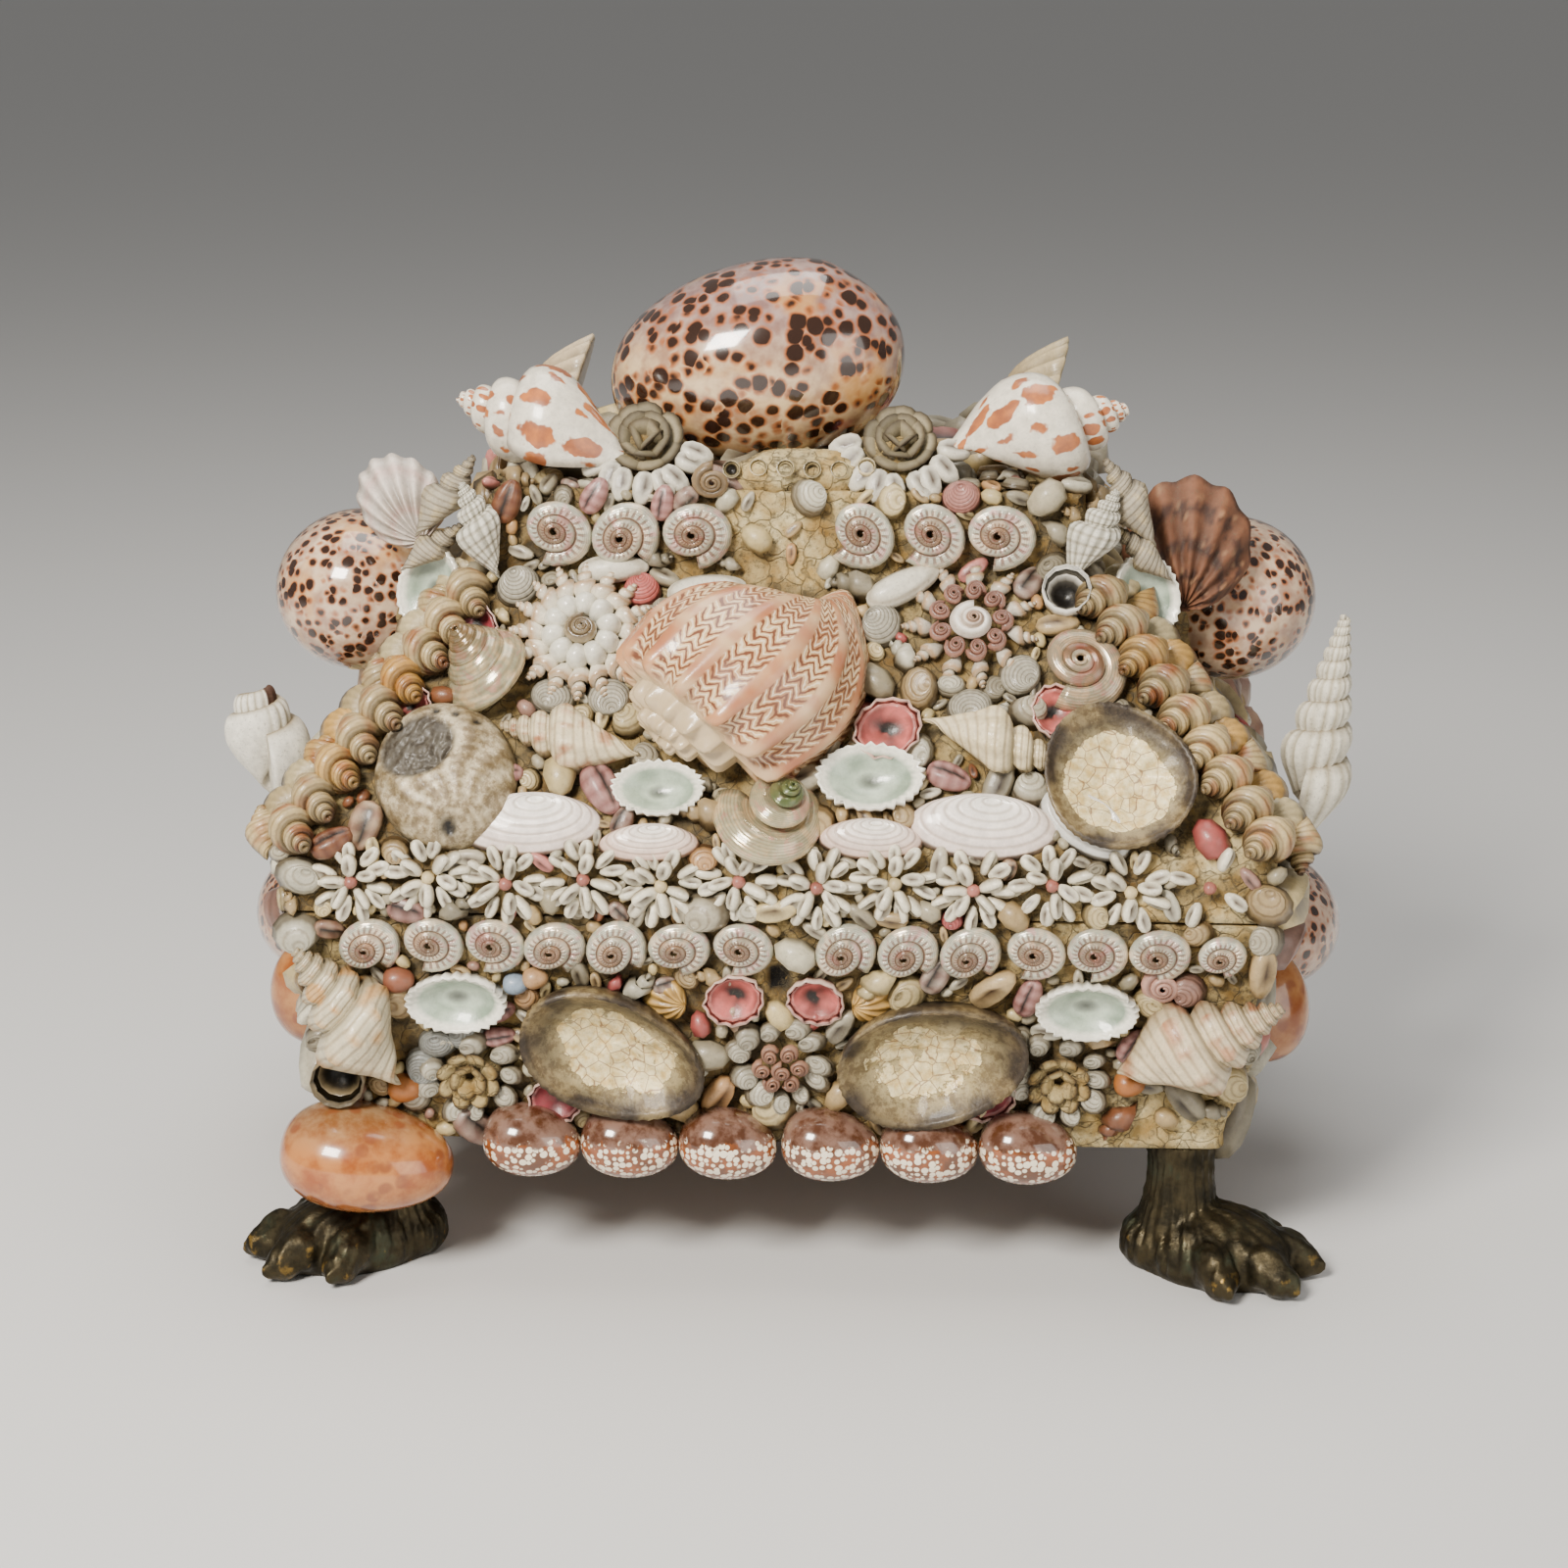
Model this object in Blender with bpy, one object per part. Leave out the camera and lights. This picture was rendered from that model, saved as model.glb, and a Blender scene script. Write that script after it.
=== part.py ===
"""A shell box: a hollow wooden casket with a lift-off mansard lid, on four cast lion's paws.

A coat of putty on its sides and lid holds the sea shells. Metres, +Z up. The front faces -Y, and
the origin is on the floor under the middle of the box.
"""

import math

import bmesh
import bpy
from mathutils import Matrix, Vector

# Box and lid: heights of the stages, and half width and half depth of the putty's outer face at each
FOOT_HEIGHT = 0.0495
BOX_HEIGHT = 0.087
BAND_HEIGHT = 0.024
SLOPE_RISE = 0.085
CROWN_HEIGHT = 0.028
BASE_HALF = (0.156, 0.112)
RIM_HALF = (0.170, 0.125)
CROWN_HALF = (0.104, 0.068)

# Thicknesses and clearances
WOOD = 0.008
PUTTY = 0.004
GAP = 0.0003
SEAM_GAP = 0.0012
KEYHOLE_WIDTH = 0.007
KEYHOLE_HEIGHT = 0.010
KEYHOLE_DEPTH = 0.006
KEYHOLE_DROP = 0.0225

# Paws: ankle places, and the foot's own sizes
ANKLE_INSET = (0.014, 0.014)
ANKLE_RADIUS = 0.0115
PAW_LENGTH = 0.053
PAW_SPLAY = math.radians(28)

# Rows of fused shells
LOWER_PEARLS = 7
UPPER_PEARLS = 3
FRIEZE_FLOWERS = 12
FLOWER_PETALS = 6
HIP_SHELLS = {"front": 9, "back": 6}

UNDERSIDE = FOOT_HEIGHT
SEAM = UNDERSIDE + BOX_HEIGHT
BAND_TOP = SEAM + BAND_HEIGHT
SLOPE_TOP = BAND_TOP + SLOPE_RISE
PLATFORM = SLOPE_TOP + CROWN_HEIGHT

STAGES = {
    "wall": ((UNDERSIDE, BASE_HALF), (SEAM, RIM_HALF)),
    "band": ((SEAM, RIM_HALF), (BAND_TOP, RIM_HALF)),
    "slope": ((BAND_TOP, RIM_HALF), (SLOPE_TOP, CROWN_HALF)),
    "crown": ((SLOPE_TOP, CROWN_HALF), (PLATFORM, CROWN_HALF)),
}
# Which way is right, and which way is out, for someone facing each side
FACINGS = {
    "front": (Vector((1, 0, 0)), Vector((0, -1, 0))),
    "right": (Vector((0, 1, 0)), Vector((1, 0, 0))),
    "back": (Vector((-1, 0, 0)), Vector((0, 1, 0))),
    "left": (Vector((0, -1, 0)), Vector((-1, 0, 0))),
}

MATERIALS = {
    "wood": ((0.30, 0.20, 0.11), 0.7, 0.0),
    "putty": ((0.66, 0.58, 0.42), 0.9, 0.0),
    "bronze": ((0.09, 0.08, 0.05), 0.45, 0.8),
    "spotted cowrie": ((0.62, 0.52, 0.45), 0.15, 0.0),
    "orange cowrie": ((0.72, 0.42, 0.18), 0.15, 0.0),
    "netted cowrie": ((0.38, 0.20, 0.12), 0.15, 0.0),
    "harp": ((0.74, 0.48, 0.36), 0.25, 0.0),
    "cream shell": ((0.78, 0.68, 0.50), 0.45, 0.0),
    "white shell": ((0.80, 0.78, 0.72), 0.4, 0.0),
    "patched whelk": ((0.85, 0.70, 0.52), 0.3, 0.0),
    "brown scallop": ((0.40, 0.19, 0.10), 0.5, 0.0),
    "pearl": ((0.72, 0.68, 0.64), 0.18, 0.35),
    "green limpet": ((0.66, 0.72, 0.64), 0.35, 0.0),
    "abalone": ((0.52, 0.46, 0.34), 0.35, 0.1),
    "hip conch": ((0.76, 0.58, 0.34), 0.45, 0.0),
    "flower shell": ((0.60, 0.61, 0.56), 0.5, 0.0),
}


def clear_scene():
    for obj in list(bpy.data.objects):
        bpy.data.objects.remove(obj)
    for mesh in list(bpy.data.meshes):
        bpy.data.meshes.remove(mesh)


def make_materials():
    for name, (colour, roughness, metallic) in MATERIALS.items():
        material = bpy.data.materials.new(name)
        material.use_nodes = True
        shader = material.node_tree.nodes["Principled BSDF"]
        shader.inputs["Base Color"].default_value = (*colour, 1)
        shader.inputs["Roughness"].default_value = roughness
        shader.inputs["Metallic"].default_value = metallic


def make_collection(name):
    collection = bpy.data.collections.new(name)
    bpy.context.scene.collection.children.link(collection)
    return collection


def add_node(name, mesh, material, frame=Matrix()):
    """Puts one piece into the shell box's collection, at its frame."""
    obj = bpy.data.objects.new(name, mesh)
    obj.matrix_world = frame
    mesh.materials.clear()
    mesh.materials.append(bpy.data.materials[material])
    mesh.shade_smooth()
    mesh.set_sharp_from_angle(angle=math.radians(40))
    bpy.data.collections["shell box"].objects.link(obj)
    return obj


# Frames on the faces of the box


def facing(side, stage, across, up, lift=GAP):
    """The frame at a spot of one face: across is a share of the half width, up a share of the rise.

    X runs to the right, Y up the face and Z out of it.
    """
    (low_z, low_half), (high_z, high_half) = STAGES[stage]
    right, out = FACINGS[side]
    along, deep = (0, 1) if side in ("front", "back") else (1, 0)
    rise = Vector((0, 0, high_z - low_z)) + out * (high_half[deep] - low_half[deep])
    half = low_half[along] + (high_half[along] - low_half[along]) * up
    normal = right.cross(rise.normalized())
    spot = out * low_half[deep] + Vector((0, 0, low_z)) + rise * up + right * half * across
    frame = Matrix((right, rise.normalized(), normal)).transposed().to_4x4()
    frame.translation = spot + normal * lift
    return frame


def on_platform(across, deep):
    """The frame at a spot of the lid's flat top, by shares of its half width and half depth."""
    return Matrix.Translation((CROWN_HALF[0] * across, CROWN_HALF[1] * deep, PLATFORM + GAP))


def turned(degrees, axis="Z"):
    return Matrix.Rotation(math.radians(degrees), 4, axis)


# Forms


def skin(sides, rings, point):
    """A UV sphere whose ring k, at angle a, is moved to point(k, a); rings 0 and last are its poles."""
    shape = bmesh.new()
    bmesh.ops.create_uvsphere(shape, u_segments=sides, v_segments=rings, radius=1)
    for vert in shape.verts:
        ring = round(math.acos(max(-1, min(1, vert.co.z))) * rings / math.pi)
        vert.co = point(ring, math.atan2(vert.co.y, vert.co.x))
    bmesh.ops.recalc_face_normals(shape, faces=shape.faces)
    return mesh_of(shape)


def mesh_of(shape):
    mesh = bpy.data.meshes.new("shape")
    shape.to_mesh(mesh)
    shape.free()
    return mesh


def seated(mesh, placing=Matrix()):
    """The mesh after placing, cut off flat at z = 0 where it meets what it is set in."""
    shape = bmesh.new()
    shape.from_mesh(mesh)
    shape.transform(placing)
    everything = shape.verts[:] + shape.edges[:] + shape.faces[:]
    bmesh.ops.bisect_plane(
        shape, geom=everything, dist=1e-6, plane_co=(0, 0, 0), plane_no=(0, 0, 1), clear_inner=True
    )
    rim = [edge for edge in shape.edges if edge.is_boundary]
    bmesh.ops.holes_fill(shape, edges=rim, sides=0)
    bmesh.ops.recalc_face_normals(shape, faces=shape.faces)
    return mesh_of(shape)


def boolean(mesh, other, operation):
    """One mesh joined with, or cut by, another."""
    made = [bpy.data.objects.new("boolean", each) for each in (mesh, other)]
    for obj in made:
        bpy.context.scene.collection.objects.link(obj)
    modifier = made[0].modifiers.new("boolean", "BOOLEAN")
    modifier.operation = operation
    modifier.object = made[1]
    bpy.context.view_layer.update()
    graph = bpy.context.evaluated_depsgraph_get()
    result = bpy.data.meshes.new_from_object(made[0].evaluated_get(graph))
    for obj in made:
        bpy.data.objects.remove(obj)
    return result


def fused(meshes):
    """Touching shells joined into one body."""
    result = meshes[0]
    for mesh in meshes[1:]:
        result = boolean(result, mesh, "UNION")
    return result


def moved(mesh, placing):
    copy = mesh.copy()
    copy.transform(placing)
    return copy


def loft(rings):
    """A closed skin over rectangles (z, half width, half depth), each joined to the next, with end caps."""
    shape = bmesh.new()
    corners = ((-1, -1), (1, -1), (1, 1), (-1, 1))
    loops = [[shape.verts.new((x * sx, y * sy, z)) for sx, sy in corners] for z, x, y in rings]
    for low, high in zip(loops, loops[1:]):
        for i in range(4):
            shape.faces.new((low[i], low[(i + 1) % 4], high[(i + 1) % 4], high[i]))
    shape.faces.new(loops[0])
    shape.faces.new(loops[-1])
    bmesh.ops.recalc_face_normals(shape, faces=shape.faces)
    return mesh_of(shape)


def sleeve(rings):
    """The same with the last rectangle joined to the first, so that it stays open right through."""
    shape = bmesh.new()
    corners = ((-1, -1), (1, -1), (1, 1), (-1, 1))
    loops = [[shape.verts.new((x * sx, y * sy, z)) for sx, sy in corners] for z, x, y in rings]
    for low, high in zip(loops, loops[1:] + loops[:1]):
        for i in range(4):
            shape.faces.new((low[i], low[(i + 1) % 4], high[(i + 1) % 4], high[i]))
    bmesh.ops.recalc_face_normals(shape, faces=shape.faces)
    return mesh_of(shape)


# Box and lid


def half_at(z, inset):
    """Half width and half depth of the outer form at height z, less inset."""
    for (low_z, low), (high_z, high) in STAGES.values():
        if z <= high_z + 1e-9:
            share = (z - low_z) / (high_z - low_z)
            return [low[i] + (high[i] - low[i]) * share - inset for i in (0, 1)]
    return [side - inset for side in CROWN_HALF]


def level(z, inset):
    return (z, *half_at(z, inset))


def make_box():
    """The wooden box, open above, with its keyhole in the front, and the putty on its four sides."""
    skin_inset = PUTTY + GAP
    inner = skin_inset + WOOD
    top = SEAM - GAP / 2
    outside = [level(UNDERSIDE, skin_inset), level(top, skin_inset)]
    carcass = loft(outside + [level(top, inner), level(UNDERSIDE + WOOD, inner)])
    coat_top = SEAM - SEAM_GAP / 2
    coat = sleeve(
        [level(UNDERSIDE, 0), level(coat_top, 0), level(coat_top, PUTTY), level(UNDERSIDE, PUTTY)]
    )
    keyhole = keyhole_cutter()
    add_node("carcass", boolean(carcass, keyhole, "DIFFERENCE"), "wood")
    add_node("box_putty", boolean(coat, keyhole, "DIFFERENCE"), "putty")


def keyhole_cutter():
    """An upright oval plug that reaches through the putty and part of the way into the wood."""
    shape = bmesh.new()
    depth = 2 * (PUTTY + GAP + KEYHOLE_DEPTH)
    bmesh.ops.create_cone(
        shape, cap_ends=True, segments=10, radius1=KEYHOLE_WIDTH / 2, radius2=KEYHOLE_WIDTH / 2, depth=depth
    )
    shape.transform(Matrix.Diagonal((1, KEYHOLE_HEIGHT / KEYHOLE_WIDTH, 1, 1)))
    up = 1 - KEYHOLE_DROP / BOX_HEIGHT
    shape.transform(facing("front", "wall", 0, up, 0))
    return mesh_of(shape)


def make_lid():
    """The hollow wooden lid, open below, and the putty over its band, slopes, crown and top."""
    skin_inset = PUTTY + GAP
    inner = skin_inset + WOOD
    foot = SEAM + GAP / 2
    wood_top = PLATFORM - skin_inset
    wood = loft(
        [level(wood_top, skin_inset), level(SLOPE_TOP, skin_inset), level(BAND_TOP, skin_inset)]
        + [level(foot, skin_inset), level(foot, inner), level(BAND_TOP, inner), level(SLOPE_TOP, inner)]
        + [level(wood_top - WOOD, inner)]
    )
    coat_foot = SEAM + SEAM_GAP / 2
    coat = loft(
        [level(PLATFORM, 0), level(SLOPE_TOP, 0), level(BAND_TOP, 0), level(coat_foot, 0)]
        + [level(coat_foot, PUTTY), level(BAND_TOP, PUTTY), level(SLOPE_TOP, PUTTY)]
        + [level(PLATFORM - PUTTY, PUTTY)]
    )
    add_node("lid", wood, "wood")
    core = loft([(z, *half_at(z, PUTTY)) for z in (SEAM, BAND_TOP, SLOPE_TOP, PLATFORM - PUTTY)])
    for side in ("left", "right"):
        seat = upper_cowrie_frame(side) @ Matrix.Translation((0, 0, -GAP))
        coat = boolean(coat, boolean(bolster(seat, 0.070, 0.048, 0.040), core, "DIFFERENCE"), "UNION")
    add_node("lid_putty", coat, "putty")


def bolster(seat, length, width, depth):
    """A lump of putty that carries a shell: an oval plug from the shell's seat down into the lid."""
    shape = bmesh.new()
    bmesh.ops.create_cone(shape, cap_ends=True, segments=12, radius1=0.62, radius2=0.5, depth=depth)
    shape.transform(seat @ Matrix.Translation((0, 0, -depth / 2)) @ Matrix.Diagonal((length, width, 1, 1)))
    return mesh_of(shape)


# Paws


def blob(centre, radii, sides=8, rings=5):
    """An egg-shaped lump at a place, with half sizes along X, Y and Z."""

    def point(ring, angle):
        t = math.pi * ring / rings
        x, y, z = radii
        cross = math.sin(t)
        offset = Vector((-x * math.cos(t), y * cross * math.cos(angle), z * cross * math.sin(angle)))
        return Vector(centre) + offset

    return skin(sides, rings, point)


def paw_mesh():
    """A lion's foot whose toes point along +X: an ankle, an arched foot and four toes with claws."""
    top = FOOT_HEIGHT - GAP
    profile = [(0.0, 0.0), (0.0, 0.0165), (0.018, 0.0150), (top * 0.69, ANKLE_RADIUS)]
    profile += [(top, ANKLE_RADIUS * 1.12), (top, 0.0)]

    def ankle(ring, angle):
        z, radius = profile[ring]
        return Vector((radius * math.cos(angle), radius * math.sin(angle), z - 0.004 * (ring < 2)))

    lumps = [skin(8, len(profile) - 1, ankle), blob((0.018, 0, 0.006), (0.026, 0.0205, 0.021), 8, 5)]
    for turn, reach in ((-40, 0.80), (-13, 1.0), (13, 1.0), (40, 0.80)):
        tip = PAW_LENGTH * reach
        toe = blob((tip - 0.0165, 0, 0.007), (0.0145, 0.0076, 0.0120), 6, 4)
        claw = blob((tip - 0.0050, 0, 0.0045), (0.0050, 0.0030, 0.0048), 4, 3)
        lumps += [moved(toe, turned(turn)), moved(claw, turned(turn))]
    return seated(fused(lumps))


def make_paws():
    """Four copies of one paw under the box's corners, the toes splayed out and a little forward or back."""
    foot = paw_mesh()
    corners = (("front_left", -1, -1), ("front_right", 1, -1), ("back_left", -1, 1), ("back_right", 1, 1))
    for name, sx, sy in corners:
        x = sx * (BASE_HALF[0] - ANKLE_INSET[0])
        y = sy * (BASE_HALF[1] - ANKLE_INSET[1])
        splay = math.atan2(sy * math.sin(PAW_SPLAY), sx * math.cos(PAW_SPLAY))
        frame = Matrix.Translation((x, y, 0)) @ Matrix.Rotation(splay, 4, "Z")
        add_node(f"paw_{name}", foot.copy(), "bronze", frame)


# Shells, each lying along X on z = 0 before it is placed


def cowrie(length, width, height, sides=10, rings=7):
    """An egg, blunter at -X, its widest line a third of the way up from its flat side."""
    seat = 0.33

    def point(ring, angle):
        t = math.pi * ring / rings
        girth = math.sin(t) ** 0.85 * (1 + 0.14 * math.cos(t))
        rise = seat + (1 - seat) * girth * math.sin(angle)
        return Vector((-length / 2 * math.cos(t), width / 2 * girth * math.cos(angle), height * rise))

    return skin(sides, rings, point)


def spire_profile(spire, whorls, step):
    """(share of length, of radius) from the apex: whorls that grow by one ratio, then the body whorl."""
    ratio = 0.74
    sutures = [spire * ratio ** (whorls - i) for i in range(whorls + 1)]
    profile = [(0.0, 0.0)]
    for low, high in zip(sutures, sutures[1:]):
        shoulder = low + 0.45 * (high - low)
        profile.append((low, 0.82 * (low / spire) * (1 - step)))
        profile.append((shoulder, 0.84 * (shoulder / spire) * (1 + step)))
    body = 1 - spire
    profile += [(spire, 0.84 * (1 - step)), (spire + 0.16 * body, 1.0), (spire + 0.45 * body, 0.90)]
    return profile + [(spire + 0.75 * body, 0.52), (spire + 0.95 * body, 0.26), (1.0, 0.0)]


def spired(length, width, spire=0.45, whorls=3, step=0.08, sides=10, ribs=0.0):
    """A whelk or a snail shell lying along X, apex at -X, whose alternate sides stand out as ribs."""
    profile = spire_profile(spire, whorls, step)

    def point(ring, angle):
        x, share = profile[ring]
        odd = round(angle * sides / (2 * math.pi)) % 2
        radius = share * width / 2 * (1 + ribs * (1 - 2 * odd))
        middle = width / 2 * (0.10 + 0.45 * share)
        y, z = radius * math.cos(angle), middle + radius * math.sin(angle)
        return Vector(((x - 0.5) * length, y, z))

    return skin(sides, len(profile) - 1, point)


def hip_conch(length, width):
    """A small plump conch lying along X, apex at -X."""
    profile = ((0.0, 0.0), (0.28, 0.56), (0.58, 1.0), (1.0, 0.0))

    def point(ring, angle):
        x, share = profile[ring]
        radius = share * width / 2
        y, z = radius * math.cos(angle), width * 0.22 + radius * math.sin(angle)
        return Vector(((x - 0.5) * length, y, z))

    return skin(6, len(profile) - 1, point)


def harp_shell(length, width, height, ribs=10):
    """A swollen body whorl with strong ribs along it, and a small low spire at -X."""
    profile = [(0.0, 0.0), (0.05, 0.16), (0.10, 0.22), (0.16, 0.46), (0.22, 0.84), (0.38, 1.0)]
    profile += [(0.60, 0.94), (0.82, 0.68), (0.96, 0.34), (1.0, 0.0)]
    sides = 2 * ribs

    def point(ring, angle):
        x, share = profile[ring]
        rib = 1.05 if round(angle * sides / (2 * math.pi)) % 2 else 0.97
        y = width / 2 * share * rib * math.cos(angle)
        z = height * (0.12 + 0.28 * share + 0.58 * share * rib * math.sin(angle))
        return Vector(((x - 0.5) * length, y, z))

    return skin(sides, len(profile) - 1, point)


def fan(height, width, thick, ribs):
    """A scallop or cockle valve lying face down, hinge at the origin and rim towards +X."""
    shares = ((0.0, 0.5), (0.42, 1.0), (0.82, 0.66), (1.0, 0.0), (0.0, 0.0))
    sides = 2 * ribs + 4

    def point(ring, angle):
        share, rise = shares[ring]
        spread = angle * 0.56
        ridge = 1 if round(angle * sides / (2 * math.pi)) % 2 else -1
        reach = height * (0.10 + 0.90 * max(0, math.cos(spread)) ** 0.6) * (1 + 0.025 * ridge)
        if ring == 4:
            return Vector((height * 0.4, 0, 0))
        z = thick * rise * (1 + 0.10 * ridge * (0 < share < 1))
        across = width / height / 1.155
        return Vector((reach * share * math.cos(spread), reach * share * math.sin(spread) * across, z))

    return skin(sides, 4, point)


def dish(length, width, height, sides=12, jag=0.0, wall=0.10):
    """An open shell seen from inside: a bowl with a standing rim, flat below."""
    shares = ((0.0, 0.24), (0.55, 0.36), (1 - wall, 0.94), (1.0, 1.0), (0.78, 0.0), (0.0, 0.0))

    def point(ring, angle):
        share, rise = shares[ring]
        edge = share * (1 - jag * (round(angle * sides / (2 * math.pi)) % 2) * (ring == 3))
        x, y = length / 2 * edge * math.cos(angle), width / 2 * edge * math.sin(angle)
        return Vector((x, y, height * rise))

    return skin(sides, 5, point)


def stack(length, width, height, profile, sides=12, lean=(0.0, 0.0), star=0.0):
    """A form turned about Z from (radius share, height share) rows, leaning over, or pinched into a star."""

    def point(ring, angle):
        share, rise = profile[ring]
        pinch = 1 - star * (round(angle * sides / (2 * math.pi)) % 2)
        x = length / 2 * share * pinch * math.cos(angle) + lean[0] * rise
        y = width / 2 * share * pinch * math.sin(angle) + lean[1] * rise
        return Vector((x, y, height * rise))

    return skin(sides, len(profile) - 1, point)


PEARL_PROFILE = ((0.0, 1.0), (0.46, 0.74), (1.0, 0.30), (0.96, -0.20), (0.0, -0.4))
TURBAN_PROFILE = ((0.0, 1.0), (0.26, 0.82), (0.34, 0.62), (0.66, 0.54), (0.76, 0.36), (1.0, 0.22))
TURBAN_PROFILE += ((0.96, -0.2), (0, -0.3))
FLOWER_PROFILE = ((0.0, 0.8), (1.0, 0.6), (0.9, -0.3), (0.0, -0.5))
DOME_PROFILE = ((0.0, 1.0), (0.50, 0.84), (0.85, 0.42), (1.0, 0.0), (0.0, 0.0))


# The shells of each place


def put_front(name, material, mesh, stage, spot, turn=0.0):
    """Sets one shell in a front face; spot is (across, up)."""
    add_node(name, mesh, material, facing("front", stage, *spot) @ turned(turn))


def make_front_snails():
    """The harp, the top shells, the conchs and the tritons, each cut flat where it sits in the putty."""
    harp = seated(harp_shell(0.088, 0.061, 0.041))
    put_front("harp", "harp", harp, "slope", (-0.080, 0.600), 47)
    turbans = (
        ("turban_left", (0.028, 0.027, 0.019), (-0.006, 0.004), (-0.780, 0.600)),
        ("turban_right", (0.028, 0.026, 0.012), (0.0, 0.0), (0.800, 0.626)),
        ("turban_centre", (0.037, 0.030, 0.023), (0.009, 0.004), (-0.035, 0.125)),
    )
    for name, size, lean, spot in turbans:
        put_front(name, "pearl", seated(stack(*size, TURBAN_PROFILE, 10, lean)), "slope", spot)
    spires = (
        ("conch_left", (0.049, 0.021, 0.36, 2), "slope", (-0.495, 0.365), -10),
        ("conch_right", (0.050, 0.022, 0.34, 2), "slope", (0.500, 0.375), 166),
        ("triton_left", (0.060, 0.034, 0.48, 3), "wall", (-0.900, 0.600), -52),
        ("triton_right", (0.060, 0.033, 0.48, 3), "wall", (0.885, 0.540), 207),
    )
    for name, form, stage, spot, turn in spires:
        put_front(name, "cream shell", seated(spired(*form, step=0.10, sides=8)), stage, spot, turn)


def make_front_dishes():
    """The limpets and abalones, most of them with their hollow side out."""
    limpets = (
        ("limpet_lid_left", (0.031, 0.019, 0.008), "slope", (-0.262, 0.195)),
        ("limpet_lid_right", (0.036, 0.023, 0.009), "slope", (0.200, 0.240)),
        ("limpet_box_left", (0.034, 0.021, 0.009), "wall", (-0.672, 0.650)),
        ("limpet_box_right", (0.034, 0.020, 0.009), "wall", (0.640, 0.650)),
    )
    for name, size, stage, spot in limpets:
        put_front(name, "green limpet", dish(*size, jag=0.08), stage, spot)
    dome = stack(0.048, 0.050, 0.015, DOME_PROFILE)
    put_front("abalone_top_left", "abalone", dome, "slope", (-0.745, 0.245), 20)
    put_front("abalone_top_right", "abalone", dish(0.047, 0.047, 0.013), "slope", (0.745, 0.245))
    put_front("abalone_box_left", "abalone", dish(0.062, 0.043, 0.013), "wall", (-0.357, 0.455), -18)
    put_front("abalone_box_right", "abalone", dish(0.062, 0.044, 0.013), "wall", (0.325, 0.430), 18)


def make_lid_top_shells():
    """The shells on and round the lid's flat top."""
    tilt = turned(-8) @ Matrix.Translation((0, 0, 0.036)) @ turned(52, "X")
    tilt = tilt @ Matrix.Translation((0, 0, -0.020))
    largest = seated(cowrie(0.106, 0.070, 0.056, 14, 8), tilt)
    add_node("top_cowrie", largest, "spotted cowrie", on_platform(-0.12, -0.16))
    for name, sx in (("left", -1), ("right", 1)):
        out = turned(180 if sx > 0 else 0)
        whelk = seated(spired(0.066, 0.037, 0.44, 3, 0.07, 10))
        frame = on_platform(sx * 0.86, -0.74) @ out @ turned(sx * 9)
        add_node(f"babylonia_{name}", whelk, "patched whelk", frame)
        ribbed = seated(spired(0.032, 0.016, 0.42, 2, 0.08, 8, 0.05))
        frame = facing("front", "crown", sx * 1.02, 0.58) @ turned(-90 + sx * -24)
        add_node(f"ribbed_whelk_{name}", ribbed, "white shell", frame)
        cockle = Matrix.Translation((0, 0, 0.002)) @ turned(-72, "Y")
        valve = seated(fan(0.036, 0.042, 0.012, 6), cockle)
        add_node(f"back_cockle_{name}", valve, "cream shell", on_platform(sx * 0.86, 0.66))


def make_side_shells():
    """The cowries, horns and scallops that stand out of the box's two ends."""
    for side, sx in (("left", -1), ("right", 1)):
        upper = seated(cowrie(0.082, 0.058, 0.046))
        add_node(f"upper_cowrie_{side}", upper, "spotted cowrie", upper_cowrie_frame(side))
        frame = facing(side, "wall", 0.12 * sx, 0.52) @ turned(0 if sx < 0 else 180)
        add_node(f"lower_cowrie_{side}", seated(cowrie(0.074, 0.052, 0.046)), "spotted cowrie", frame)
        frame = facing(side, "wall", -0.50 * sx, 0.42) @ turned(78)
        add_node(f"small_cowrie_{side}", seated(cowrie(0.042, 0.028, 0.028, 8, 6)), "orange cowrie", frame)
    add_node("horn_right", horn(0.082, 0.026, 0.60, 5), "white shell", horn_frame("right", 9))
    add_node("horn_left", horn(0.052, 0.026, 0.40, 3), "white shell", horn_frame("left", 6))
    add_node("brown_scallop", fan(0.044, 0.042, 0.011, 9), "brown scallop", scallop_frame("right"))
    add_node("white_scallop", fan(0.032, 0.028, 0.009, 8), "white shell", scallop_frame("left"))


def horn(length, width, spire, whorls):
    """A tall spired shell that stands on its lip, apex up."""
    upright = Matrix.Translation((0, 0, length / 2 - 0.004)) @ turned(90, "Y")
    return seated(spired(length, width, spire, whorls, 0.07, 8), upright)


def horn_frame(side, lean):
    """A spot at the foot of one end's slope, near the front, with Z leaning out from upright."""
    sx = -1 if side == "left" else 1
    spot = Vector((sx * (RIM_HALF[0] + 0.0152), -0.050, SEAM + 0.012))
    return Matrix.Translation(spot) @ turned(sx * lean, "Y")


def scallop_frame(side):
    """The hinge of the scallop that stands at one end of the crown, its back to the front."""
    if side == "right":
        spot, lean = Vector((CROWN_HALF[0] + 0.036, -0.040, SLOPE_TOP - 0.016)), -4
    else:
        spot, lean = Vector((-CROWN_HALF[0] - 0.027, -0.034, SLOPE_TOP + 0.004)), 34
    return Matrix.Translation(spot) @ turned(90, "X") @ turned(90 + lean)


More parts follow.
